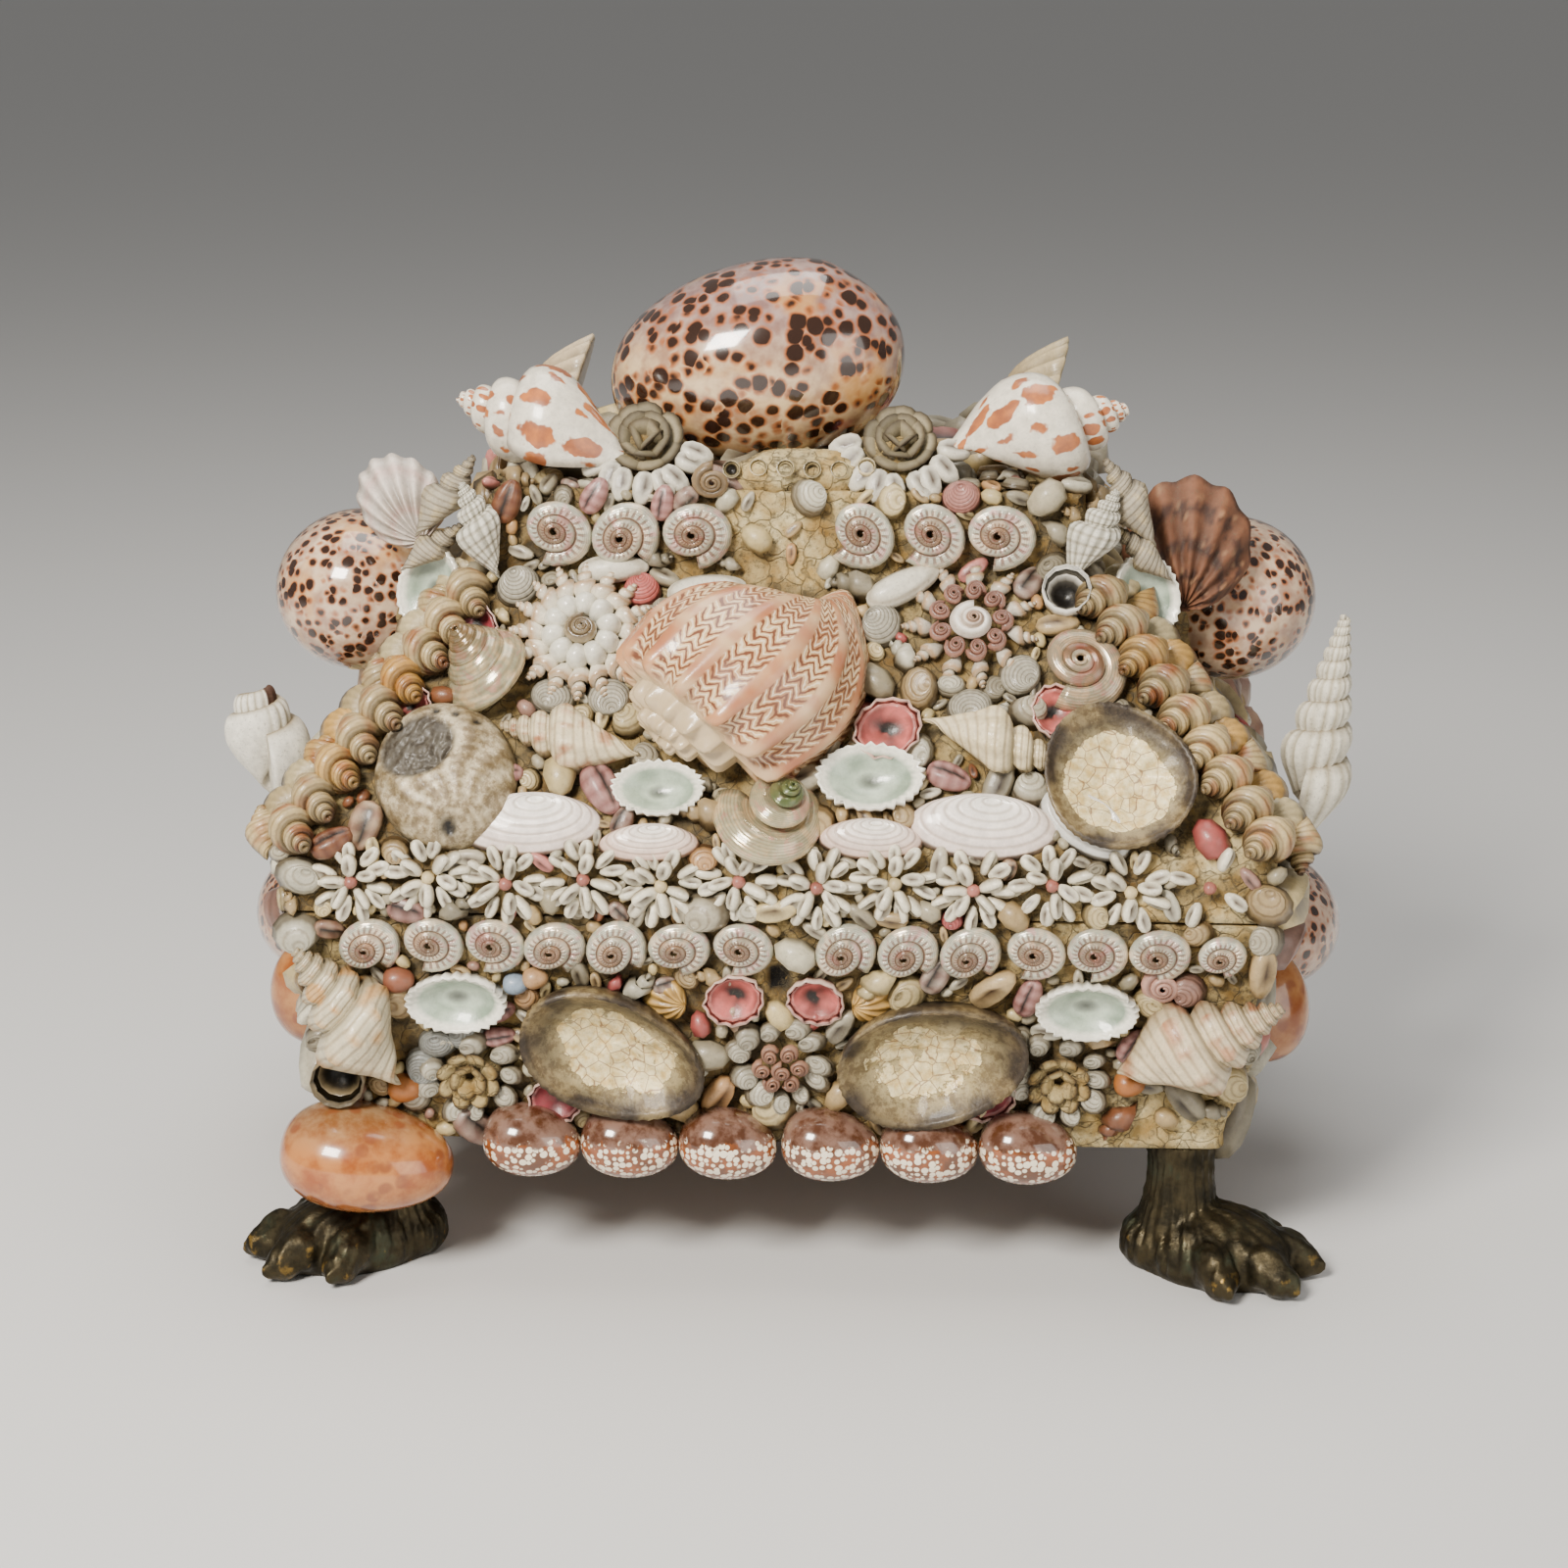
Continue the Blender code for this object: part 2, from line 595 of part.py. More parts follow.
def upper_cowrie_frame(side):
    """The seat of the cowrie at one end of the lid: Z out of the end and a little up, X along it."""
    sx = -1 if side == "left" else 1
    spot = Vector((sx * (CROWN_HALF[0] + 0.042), 0.004, SLOPE_TOP - 0.026))
    return Matrix.Translation(spot) @ turned(sx * 78, "Y") @ turned(90)


def make_bottom_cowries():
    """Six netted cowries along the lower front edge, and one large cowrie on the left corner."""
    for i, across in enumerate((-0.555, -0.335, -0.115, 0.115, 0.335, 0.555)):
        frame = facing("front", "wall", across, 0.035) @ turned(-10)
        small = seated(cowrie(0.0335, 0.024, 0.019, 8, 6))
        add_node(f"bottom_cowrie_{i + 1}", small, "netted cowrie", frame)
    frame = facing("front", "wall", -0.93, -0.025) @ turned(-8)
    add_node("corner_cowrie", seated(cowrie(0.061, 0.037, 0.033)), "orange cowrie", frame)
    for side, across in (("left", 0.36), ("right", -0.36)):
        frame = facing("back", "wall", across, 0.48) @ turned(6)
        add_node(f"back_cowrie_{side}", seated(cowrie(0.064, 0.044, 0.030)), "spotted cowrie", frame)


def row_on_face(side, stage, spots, shells):
    """Shells fused along a face, each second one a little prouder; spots are (across, up, turn)."""
    frame = facing(side, stage, 0, 0)
    placed = []
    for i, ((x, y, turn), shell) in enumerate(zip(spots, shells)):
        placed.append(moved(shell, Matrix.Translation((x, y, 0.0004 * (i % 2))) @ turned(turn)))
    return seated(fused(placed)), frame


def make_pearl_rows():
    """Rows of polished top shells under the box's rim and round the crown's front."""
    width = 2 * RIM_HALF[0]
    pitch = width * 0.0625
    for name, start in (("left", -width * 0.411), ("right", width * 0.070)):
        spots = [(start + i * pitch, BOX_HEIGHT * 0.885, 0) for i in range(LOWER_PEARLS)]
        pearl = stack(pitch * 1.07, pitch * 1.07, 0.008, PEARL_PROFILE, 8)
        mesh, frame = row_on_face("front", "wall", spots, [pearl] * LOWER_PEARLS)
        add_node(f"lower_pearls_{name}", mesh, "pearl", frame)
    pitch = CROWN_HALF[0] * 0.235
    for name, start in (("left", -CROWN_HALF[0] * 0.76), ("right", CROWN_HALF[0] * 0.25)):
        spots = [(start + i * pitch, CROWN_HEIGHT * 0.44, 0) for i in range(UPPER_PEARLS)]
        pearl = stack(pitch * 1.06, pitch * 1.06, 0.009, PEARL_PROFILE, 8)
        mesh, frame = row_on_face("front", "crown", spots, [pearl] * UPPER_PEARLS)
        add_node(f"upper_pearls_{name}", mesh, "pearl", frame)


def make_frieze():
    """A row of shell flowers along the lid's band, their petals touching."""
    pitch = 2 * RIM_HALF[0] * 0.078
    start = -pitch * (FRIEZE_FLOWERS - 1) / 2
    flower = stack(pitch * 1.06, BAND_HEIGHT * 0.95, 0.0055, FLOWER_PROFILE, 2 * FLOWER_PETALS, star=0.30)
    spots = [(start + i * pitch, BAND_HEIGHT * 0.55, 0) for i in range(FRIEZE_FLOWERS)]
    mesh, frame = row_on_face("front", "band", spots, [flower] * FRIEZE_FLOWERS)
    add_node("flower_frieze", mesh, "flower shell", frame)


def hip_frame(sx, sy, share):
    """A spot on a hip of the lid: X across the hip towards the front or back face, Y up it, Z out of it."""
    low = Vector((sx * RIM_HALF[0], sy * RIM_HALF[1], BAND_TOP))
    high = Vector((sx * CROWN_HALF[0], sy * CROWN_HALF[1], SLOPE_TOP))
    up = (high - low).normalized()
    end = "left" if sx < 0 else "right"
    face = "front" if sy < 0 else "back"
    out = facing(end, "slope", 0, 0).col[2].to_3d() + facing(face, "slope", 0, 0).col[2].to_3d()
    across = up.cross(out).normalized()
    frame = Matrix((across, up, across.cross(up))).transposed().to_4x4()
    frame.translation = low + (high - low) * share
    return frame


def make_hip_rows():
    """Conchs astride each hip of the lid, each touching the next, cut to fit the putty below them."""
    slant = math.dist((*RIM_HALF, BAND_TOP), (*CROWN_HALF, SLOPE_TOP))
    block = loft([level(z, -GAP) for z in (SEAM, BAND_TOP, SLOPE_TOP, PLATFORM)])
    for face, sy in (("front", -1), ("back", 1)):
        count = HIP_SHELLS[face]
        pitch = slant * 0.95 / count
        conch = hip_conch(0.021, pitch * 1.3)
        for end, sx in (("left", -1), ("right", 1)):
            inward = turned(180 if sx * sy < 0 else 0)
            shells = []
            for i in range(count):
                outward = Matrix.Translation((0.0045, 0, -0.001 + 0.0005 * (i % 2)))
                frame = hip_frame(sx, sy, (i + 0.55) * pitch / slant)
                shells.append(moved(conch, frame @ inward @ outward @ turned(4 * (i % 2))))
            add_node(f"hip_shells_{face}_{end}", boolean(fused(shells), block, "DIFFERENCE"), "hip conch")


def main():
    clear_scene()
    make_materials()
    make_collection("shell box")
    make_box()
    make_lid()
    make_paws()
    make_front_snails()
    make_front_dishes()
    make_lid_top_shells()
    make_side_shells()
    make_bottom_cowries()
    make_pearl_rows()
    make_frieze()
    make_hip_rows()


main()
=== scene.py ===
"""The looks of a shell box: putty, shells, cast paws, and a plain studio round them.

Metres, +Z up, front facing -Y, as in the frame. A shell is a closed grid of points whose rows run
along it and whose columns run round it.
"""

import functools
import math

import bpy
import numpy as np
from mathutils import Matrix, Vector


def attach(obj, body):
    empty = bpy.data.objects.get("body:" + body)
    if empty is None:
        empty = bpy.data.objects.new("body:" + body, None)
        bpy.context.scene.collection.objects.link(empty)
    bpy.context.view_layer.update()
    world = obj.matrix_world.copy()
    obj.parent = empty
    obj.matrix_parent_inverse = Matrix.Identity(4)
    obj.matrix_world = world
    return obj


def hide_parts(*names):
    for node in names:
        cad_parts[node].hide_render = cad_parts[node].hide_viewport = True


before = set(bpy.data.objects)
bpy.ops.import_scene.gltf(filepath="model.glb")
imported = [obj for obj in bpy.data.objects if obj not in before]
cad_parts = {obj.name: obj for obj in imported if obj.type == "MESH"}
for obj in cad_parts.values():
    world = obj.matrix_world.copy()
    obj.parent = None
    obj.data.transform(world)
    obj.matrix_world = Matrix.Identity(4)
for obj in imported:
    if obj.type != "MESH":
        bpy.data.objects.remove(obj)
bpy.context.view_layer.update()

# The box's stages, as its maker set them out: heights, and half width and half depth at each
FOOT_HEIGHT = 0.0495
BOX_HEIGHT = 0.087
BAND_HEIGHT = 0.024
SLOPE_RISE = 0.085
CROWN_HEIGHT = 0.028
BASE_HALF = (0.156, 0.112)
RIM_HALF = (0.170, 0.125)
CROWN_HALF = (0.104, 0.068)
PUTTY = 0.004
GAP = 0.0003
SEAM_GAP = 0.0012
PAW_LENGTH = 0.053
PAW_SPLAY = 28
ANKLE_INSET = 0.014
KEYHOLE_DROP = 0.0225

SEAM = FOOT_HEIGHT + BOX_HEIGHT
BAND_TOP = SEAM + BAND_HEIGHT
SLOPE_TOP = BAND_TOP + SLOPE_RISE
PLATFORM = SLOPE_TOP + CROWN_HEIGHT
STAGES = {
    "wall": ((FOOT_HEIGHT, BASE_HALF), (SEAM, RIM_HALF)),
    "band": ((SEAM, RIM_HALF), (BAND_TOP, RIM_HALF)),
    "slope": ((BAND_TOP, RIM_HALF), (SLOPE_TOP, CROWN_HALF)),
    "crown": ((SLOPE_TOP, CROWN_HALF), (PLATFORM, CROWN_HALF)),
}
FACINGS = {
    "front": ((1, 0, 0), (0, -1, 0)),
    "right": ((0, 1, 0), (1, 0, 0)),
    "back": ((-1, 0, 0), (0, 1, 0)),
    "left": ((0, -1, 0), (-1, 0, 0)),
}

# The camera: where it looks, from where, and how wide
CAMERA_TARGET = np.array((0.0015, -0.115, 0.1815))
CAMERA_AZIMUTH = 2.5
CAMERA_ELEVATION = 16
CAMERA_DISTANCE = 1.10
SENSOR = 0.036
FOCAL = 0.07425
PHOTO_SIDE = 1600


def linear(red, green, blue):
    """A colour given as 0 to 255 on screen, as the shader takes it."""
    share = np.array((red, green, blue)) / 255
    return np.where(share <= 0.04045, share / 12.92, ((share + 0.055) / 1.055) ** 2.4)


WHITE = linear(238, 236, 228)
SAND = linear(205, 186, 140)
PUTTY_DARK = linear(92, 82, 60)
TAN = linear(196, 152, 104)
AMBER = linear(206, 146, 62)
ORANGE = linear(205, 128, 66)
RUST = linear(170, 92, 42)
BROWN = linear(110, 66, 40)
UMBER = linear(52, 32, 22)
BLACK = linear(22, 18, 15)
PINK = linear(214, 148, 142)
BLUSH = linear(238, 218, 208)
LILAC = linear(176, 160, 160)
GOLD = linear(176, 142, 74)
PALE_SHELLS = (
    linear(208, 202, 180),
    linear(184, 175, 152),
    linear(156, 147, 124),
    linear(214, 194, 144),
    linear(186, 160, 116),
)
BRIGHT_SHELLS = (
    linear(196, 126, 118),
    linear(168, 84, 82),
    TAN,
    linear(126, 78, 50),
    linear(160, 124, 112),
)


# Places


def frame_of(right, up, out, spot):
    made = np.eye(4)
    made[:3, 0] = right
    made[:3, 1] = up
    made[:3, 2] = out
    made[:3, 3] = spot
    return made


def unit(vector):
    return np.asarray(vector, float) / np.linalg.norm(vector)


def turned(degrees, axis="Z"):
    return np.array(Matrix.Rotation(math.radians(degrees), 4, axis))


def shifted(x=0.0, y=0.0, z=0.0):
    return np.array(Matrix.Translation((x, y, z)))


def facing(side, stage, across, up, lift=GAP):
    """The frame at a spot of one face: X right, Y up the face, Z out; shares of half width and rise."""
    (low_z, low_half), (high_z, high_half) = STAGES[stage]
    right, out = np.array(FACINGS[side], float)
    along, deep = (0, 1) if side in ("front", "back") else (1, 0)
    rise = np.array((0, 0, high_z - low_z)) + out * (high_half[deep] - low_half[deep])
    half = low_half[along] + (high_half[along] - low_half[along]) * up
    normal = np.cross(right, unit(rise))
    spot = out * low_half[deep] + np.array((0, 0, low_z)) + rise * up + right * half * across
    return frame_of(right, unit(rise), normal, spot + normal * lift)


def on_platform(across, deep):
    return shifted(CROWN_HALF[0] * across, CROWN_HALF[1] * deep, PLATFORM + GAP)


def camera_axes():
    """The camera's place, and its right, up and forward directions."""
    azimuth = math.radians(CAMERA_AZIMUTH)
    elevation = math.radians(CAMERA_ELEVATION)
    flat = math.cos(elevation)
    back = np.array((math.sin(azimuth) * flat, -math.cos(azimuth) * flat, math.sin(elevation)))
    right = unit(np.cross(-back, (0, 0, 1)))
    return CAMERA_TARGET + back * CAMERA_DISTANCE, right, np.cross(right, -back), -back


def share_on(side, stage, x, y):
    """(across, up) on one face of the front or an end for the photograph's pixel (x, y)."""
    place, right, up, ahead = camera_axes()
    scale = SENSOR / FOCAL / PHOTO_SIDE
    ray = ahead + right * (x - PHOTO_SIDE / 2) * scale + up * (PHOTO_SIDE / 2 - y) * scale
    foot = facing(side, stage, 0, 0, 0)
    top = facing(side, stage, 0, 1, 0)
    normal = foot[:3, 2]
    spot = place + ray * ((foot[:3, 3] - place) @ normal) / (ray @ normal)
    rise = top[:3, 3] - foot[:3, 3]
    share = (spot - foot[:3, 3]) @ rise / (rise @ rise)
    half = abs(facing(side, stage, 1, share, 0)[:3, 3] - facing(side, stage, 0, share, 0)[:3, 3]).max()
    return (spot - foot[:3, 3]) @ foot[:3, 0] / half, share


def front_at(pixel, lift=GAP):
    """The frame on the box's front where the photograph shows that pixel."""
    best = None
    for stage in STAGES:
        across, up = share_on("front", stage, *pixel)
        miss = max(-up, up - 1, 0)
        if best is None or miss < best[0]:
            best = (miss, stage, across, up)
    return facing("front", best[1], best[2], best[3], lift)


# Surfaces


class Form:
    """A closed skin: a grid of points whose columns join up, and whose end rows close on their middles.

    tint is a colour for each point, zone a number for each point that a material may read, and
    along each row's own measure. With ring the last row joins the first and nothing is closed.
    """

    def __init__(self, points, tint=WHITE, along=None, zone=0.0, ring=False):
        self.points = np.asarray(points, float)
        rows, cols = self.points.shape[:2]
        self.tint = np.broadcast_to(tint, (rows, cols, 3))
        self.zone = np.broadcast_to(zone, (rows, cols))
        self.along = np.linspace(0, 1, rows) if along is None else np.asarray(along, float)
        self.ring = ring

    def at(self, place):
        points = self.points @ place[:3, :3].T + place[:3, 3]
        return Form(points, self.tint, self.along, self.zone, self.ring)

    def tinted(self, colour):
        return Form(self.points, self.tint * np.asarray(colour), self.along, self.zone, self.ring)

    def coloured(self, colour):
        return Form(self.points, colour, self.along, self.zone, self.ring)

    def raised(self, height):
        """Moves each point along the grid's own normal."""
        across = np.roll(self.points, -1, axis=1) - np.roll(self.points, 1, axis=1)
        normal = np.cross(across, np.gradient(self.points, axis=0))
        normal /= np.maximum(np.linalg.norm(normal, axis=-1, keepdims=True), 1e-12)
        outward = np.sign(((self.points - self.points.mean(axis=(0, 1))) * normal).sum())
        self.points = self.points + normal * (outward * height)[..., None]
        return self


@functools.lru_cache(None)
def lattice(rows, cols, ring):
    """Corner numbers of the quads and end triangles of a grid, and each corner's (row, column)."""
    i, j = np.mgrid[0:rows if ring else rows - 1, 0:cols]
    below = (i + 1) % rows
    beside = (j + 1) % cols
    quads = np.stack([i * cols + j, i * cols + beside, below * cols + beside, below * cols + j], -1)
    places = np.stack([np.stack([i, i, below, below], -1), np.stack([j, j + 1, j + 1, j], -1)], -1)
    j = np.arange(cols)
    beside = (j + 1) % cols
    last = (rows - 1) * cols
    first_fan = np.stack([np.full(cols, rows * cols), beside, j], -1)
    last_fan = np.stack([np.full(cols, rows * cols + 1), last + j, last + beside], -1)
    fans = np.concatenate([first_fan, last_fan])
    fan_rows = np.repeat([[0, 0, 0], [rows - 1] * 3], cols, axis=0)
    fan_cols = np.concatenate([np.stack([j + 0.5, j + 1, j], -1), np.stack([j + 0.5, j, j + 1], -1)])
    if ring:
        fans, fan_rows, fan_cols = fans[:0], fan_rows[:0], fan_cols[:0]
    return quads.reshape(-1, 4), places.reshape(-1, 4, 2), fans, np.stack([fan_rows, fan_cols], -1)


def is_outward(points, quads, fans):
    """True if the corners run so that the enclosed volume comes out positive."""
    triangles = np.concatenate([quads[:, :3], quads[:, [0, 2, 3]], fans])
    a, b, c = (points[triangles[:, k]] - points[0] for k in range(3))
    return np.einsum("ij,ij->i", a, np.cross(b, c)).sum() > 0


def mesh_of(forms):
    """One mesh from many forms, with their tints, zones and skin maps."""
    points, tints, zones, corners, maps, sizes = [], [], [], [], [], []
    base = 0
    for form in forms:
        rows, cols = form.points.shape[:2]
        quads, quad_at, fans, fan_at = lattice(rows, cols, form.ring)
        flat = form.points.reshape(-1, 3)
        tint = form.tint.reshape(-1, 3)
        zone = form.zone.reshape(-1)
        if not form.ring:
            flat = np.vstack([flat, form.points[[0, -1]].mean(axis=1)])
            tint = np.vstack([tint, form.tint[[0, -1]].mean(axis=1)])
            zone = np.concatenate([zone, form.zone[[0, -1]].mean(axis=1)])
        step = 1 if is_outward(flat, quads, fans) else -1
        for faces, places in ((quads, quad_at), (fans, fan_at)):
            where = places[:, ::step].reshape(-1, 2)
            corners.append((faces[:, ::step] + base).ravel())
            maps.append(np.stack([form.along[where[:, 0].astype(int)], where[:, 1] / cols], -1))
            sizes.append(np.full(len(faces), faces.shape[1]))
        points.append(flat)
        tints.append(tint)
        zones.append(zone)
        base += len(flat)
    points = np.concatenate(points)
    corners = np.concatenate(corners)
    sizes = np.concatenate(sizes)
    mesh = bpy.data.meshes.new("shells")
    mesh.vertices.add(len(points))
    mesh.vertices.foreach_set("co", points.astype(np.float32).ravel())
    mesh.loops.add(len(corners))
    mesh.loops.foreach_set("vertex_index", corners.astype(np.int32))
    mesh.polygons.add(len(sizes))
    mesh.polygons.foreach_set("loop_start", np.concatenate([[0], np.cumsum(sizes)[:-1]]).astype(np.int32))
    mesh.update(calc_edges=True)
    colours = np.ones((len(points), 4), np.float32)
    colours[:, :3] = np.concatenate(tints)
    mesh.color_attributes.new("tint", "FLOAT_COLOR", "POINT").data.foreach_set("color", colours.ravel())
    zone = np.concatenate(zones).astype(np.float32)
    mesh.attributes.new("zone", "FLOAT", "POINT").data.foreach_set("value", zone)
    layer = mesh.uv_layers.new(name="skin")
    layer.uv.foreach_set("vector", np.concatenate(maps).astype(np.float32).ravel())
    mesh.validate()
    mesh.shade_smooth()
    return mesh


def build(name, forms, material, replaces=()):
    finished(name, mesh_of(forms), material, replaces)


def finished(name, mesh, material, replaces=()):
    """One piece that rides on the box; its object sits at the origin."""
    mesh.name = name
    mesh.materials.append(bpy.data.materials[material])
    piece = bpy.data.objects.new(name, mesh)
    bpy.context.scene.collection.objects.link(piece)
    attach(piece, "root")
    if replaces:
        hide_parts(*replaces)


def waves(points, wavelength, seed, count=14):
    """Smooth noise from about -1 to 1: a sum of sine waves in random directions, with random phases."""
    rng = np.random.default_rng(seed)
    total = 0
    for _ in range(count):
        way = unit(rng.normal(size=3)) * 2 * math.pi / (wavelength * rng.uniform(0.7, 1.4))
        total = total + np.sin(points @ way + rng.uniform(0, 2 * math.pi))
    return total / math.sqrt(count)


def smooth(value, low, high):
    """0 below low, 1 above high, and an S curve between."""
    share = np.clip((value - low) / (high - low), 0, 1)
    return share * share * (3 - 2 * share)


def between(a, b, share):
    """Colour a where share is 0, b where it is 1."""
    return a + (b - a) * np.asarray(share)[..., None]


# Shell forms, each lying along X on z = 0 before it is placed


def smoothed_loop(knots, cols):
    """A closed, rounded outline through the knots, and each point's share of the way to its tip."""
    knots = np.array(knots, float)
    loop = np.vstack([knots, knots[:1]])
    steps = np.linalg.norm(np.diff(loop, axis=0), axis=1)
    length = np.concatenate([[0], np.cumsum(steps)])
    wanted = np.arange(cols) * length[-1] / cols
    points = np.stack([np.interp(wanted, length, loop[:, k]) for k in (0, 1)], -1)
    for _ in range(max(1, cols // 20)):
        points = (np.roll(points, 1, 0) + 2 * points + np.roll(points, -1, 0)) / 4
    tip = length[int(np.argmax(knots[:, 0]))]
    return points, wanted / tip


def coil(outline, turns, growth, rows, cols):
    """A snail: the outline of its last whorl swept round a growing spiral about X, apex at 0, X to the mouth.

    The outline's points are (distance from the apex, distance from the axis), from the seam over the
    shoulder to the far tip and back inside. At angle t the outline is scaled by growth ** (t / 2 pi).
    The last rows draw in, to make the mouth. turn and side hold each point's turn and its share of
    the way from the seam (0) to the tip (1), over 1 on the inside.
    """
    turn = np.concatenate([np.linspace(-turns, 0, rows), (0, 0, 0)])[:, None]
    shrink = np.concatenate([np.ones(rows), (0.90, 0.78, 0.40)])[:, None]
    loop, side = smoothed_loop(outline, cols)
    middle = loop.mean(axis=0)
    x = middle[0] + (loop[:, 0] - middle[0])[None, :] * shrink
    radius = np.maximum(middle[1] + (loop[:, 1] - middle[1])[None, :] * shrink, 0.01)
    scale = growth**turn
    angle = turn * 2 * math.pi
    points = np.stack([x * scale, radius * scale * np.cos(angle), radius * scale * np.sin(angle)], -1)
    form = Form(points, WHITE, turn[:, 0])
    form.turn = turn + 0 * x
    form.side = side[None, :] + 0 * x
    form.scale = scale + 0 * x
    form.outer = (1 - smooth(form.side, 0.95, 1.1)) * smooth(-np.arange(rows + 3)[:, None], -rows, -rows + 1)
    return form


def swell(form, share, forward=0.0):
    """Moves a snail's points out from its axis by a share of their distance, and towards the apex."""
    form.points[..., 1:] *= (1 + share * form.outer)[..., None]
    form.points[..., 0] -= forward * form.scale * form.outer
    return form


def wave(value):
    """A wave of period 1 from -1 to 1."""
    return np.cos(2 * math.pi * value)


def bump(value, middle, width):
    return np.exp(-(((value - middle) / width) ** 2))


def fit(form, length, width, height):
    """The form scaled to a length along X, a width along Y and a height along Z, about its middle."""
    low = form.points.min(axis=(0, 1))
    high = form.points.max(axis=(0, 1))
    form.points = (form.points - (low + high) / 2) * np.array((length, width, height)) / (high - low)
    return form


def lying(form, length, width, height=None, roll=200.0, nose_down=0.16):
    """A snail on its side, mouth down, a little sunk and its apex lower, as it is pressed into putty."""
    form.points = form.points @ turned(roll, "X")[:3, :3].T
    fit(form, length, width, height or width)
    form.points[..., 2] += (height or width) * (0.30 + nose_down * form.points[..., 0] / length)
    return form


def standing(form, width, height):
    """A snail seen from its apex, which points out."""
    fit(form, height, width, width)
    form.points = form.points @ turned(90, "Y")[:3, :3].T
    form.points[..., 2] += height * 0.36
    return form


WHELK = (
    *((0.38, 0.20), (0.41, 0.27), (0.50, 0.31), (0.62, 0.31), (0.76, 0.24)),
    *((0.90, 0.13), (1.0, 0.06), (0.85, 0.02), (0.60, 0.02)),
)

CONCH = (
    *((0.42, 0.13), (0.455, 0.20), (0.52, 0.225), (0.62, 0.205), (0.76, 0.145)),
    *((0.90, 0.075), (1.0, 0.04), (0.80, 0.01), (0.55, 0.01)),
)

TRITON = (
    *((0.49, 0.17), (0.535, 0.265), (0.60, 0.285), (0.72, 0.245), (0.86, 0.13)),
    *((1.0, 0.06), (0.80, 0.02), (0.60, 0.02)),
)

HARP = (
    *((0.20, 0.16), (0.215, 0.28), (0.26, 0.39), (0.36, 0.48), (0.52, 0.51), (0.70, 0.47)),
    *((0.85, 0.37), (0.96, 0.20), (1.0, 0.08), (0.86, 0.03), (0.50, 0.02), (0.27, 0.03)),
)

TOP_SHELL = ((0.52, 0.34), (0.60, 0.43), (0.72, 0.50), (0.80, 0.49), (0.84, 0.36), (0.80, 0.15), (0.60, 0.10))

PEARL = ((0.26, 0.50), (0.20, 0.60), (0.22, 0.78), (0.34, 0.95), (0.50, 0.99), (0.62, 0.85), (0.60, 0.35))

PLUMP = (
    *((0.36, 0.22), (0.39, 0.30), (0.50, 0.34), (0.66, 0.29), (0.84, 0.17)),
    *((1.0, 0.08), (0.80, 0.03), (0.50, 0.03)),
)

SPIRE = (
    *((0.66, 0.095), (0.685, 0.135), (0.74, 0.155), (0.82, 0.145), (0.92, 0.09)),
    *((1.0, 0.05), (0.86, 0.01), (0.70, 0.01)),
)

def round_angles(cols):
    """One row of evenly spaced angles round a form."""
    return np.arange(cols)[None, :] * 2 * math.pi / cols


def cowrie(length, width, height, rows=30, cols=32, seat=0.33):
    """An egg, blunter at -X, widest a third of the way up; zone is 1 on its back and -1 underneath."""
    t = np.linspace(0.03, math.pi - 0.03, rows)[:, None]
    around = round_angles(cols)
    girth = np.sin(t) ** 0.85 * (1 + 0.14 * np.cos(t))
    x = -length / 2 * np.cos(t) + 0 * around
    y = width / 2 * girth * np.cos(around)
    z = height * (seat + (1 - seat) * girth * np.sin(around))
    return Form(np.stack([x, y, z], -1), WHITE, None, girth * np.sin(around))


def plain(form):
    """The form without grooves: its zone is 0 everywhere."""
    form.zone = form.zone * 0
    return form


def toothed_cowrie(length, width, rows=14, cols=24):
    """A small ribbed cowrie, slit side out: a slot along the top painted black for the shade inside it, with
    ridges running down from it.
    """
    form = cowrie(length, width, width * 0.62, rows, cols)
    t = np.linspace(0.03, math.pi - 0.03, rows)[:, None]
    around = round_angles(cols)
    slot = np.exp(-(((around - math.pi / 2 + 0.25) / 0.22) ** 2)) * np.sin(t)
    ridge = 1 - 2 * (np.arange(rows)[:, None] % 2)
    form.points[..., 2] -= width * 0.16 * slot
    form.points[..., 1] *= 1 + 0.02 * ridge
    shade = between(np.ones(3), np.array((0.62, 0.50, 0.50)), 0.5 + 0.5 * ridge + 0 * around)
    # Painted shade: the slot is darkened to black.
    form.tint = between(shade, BLACK, smooth(slot, 0.35, 0.75))
    return plain(form)


def valve(length, width, height, rows=7, cols=20, umbo=0.0, ribbed=0.0):
    """A clam's valve, hollow side down: its outline shrunk ring by ring to the umbo, and domed."""
    angle = round_angles(cols)
    share = np.concatenate([np.linspace(0.05, 1, rows), (0.88,)])[:, None]
    outline = np.stack([length / 2 * np.cos(angle), width / 2 * np.sin(angle)], -1)
    beak = np.array((umbo * length, width * 0.40))
    flat = beak + share[..., None] * (outline - beak)
    ridge = 1 + ribbed * (1 - 2 * (np.arange(cols) % 2))[None, :] * share
    z = height * (0.70 + 0.95 * share) * np.clip(1 - share**2.2, 0, 1) ** 0.8 * ridge
    z[-1] = -height * 0.15
    form = Form(np.concatenate([flat, z[..., None]], -1))
    shade = 0.86 + 0 * share - (0.13 * (np.arange(cols) % 2)[None, :] if ribbed else 0 * angle)
    form.tint = np.repeat(shade[..., None], 3, -1)
    return form


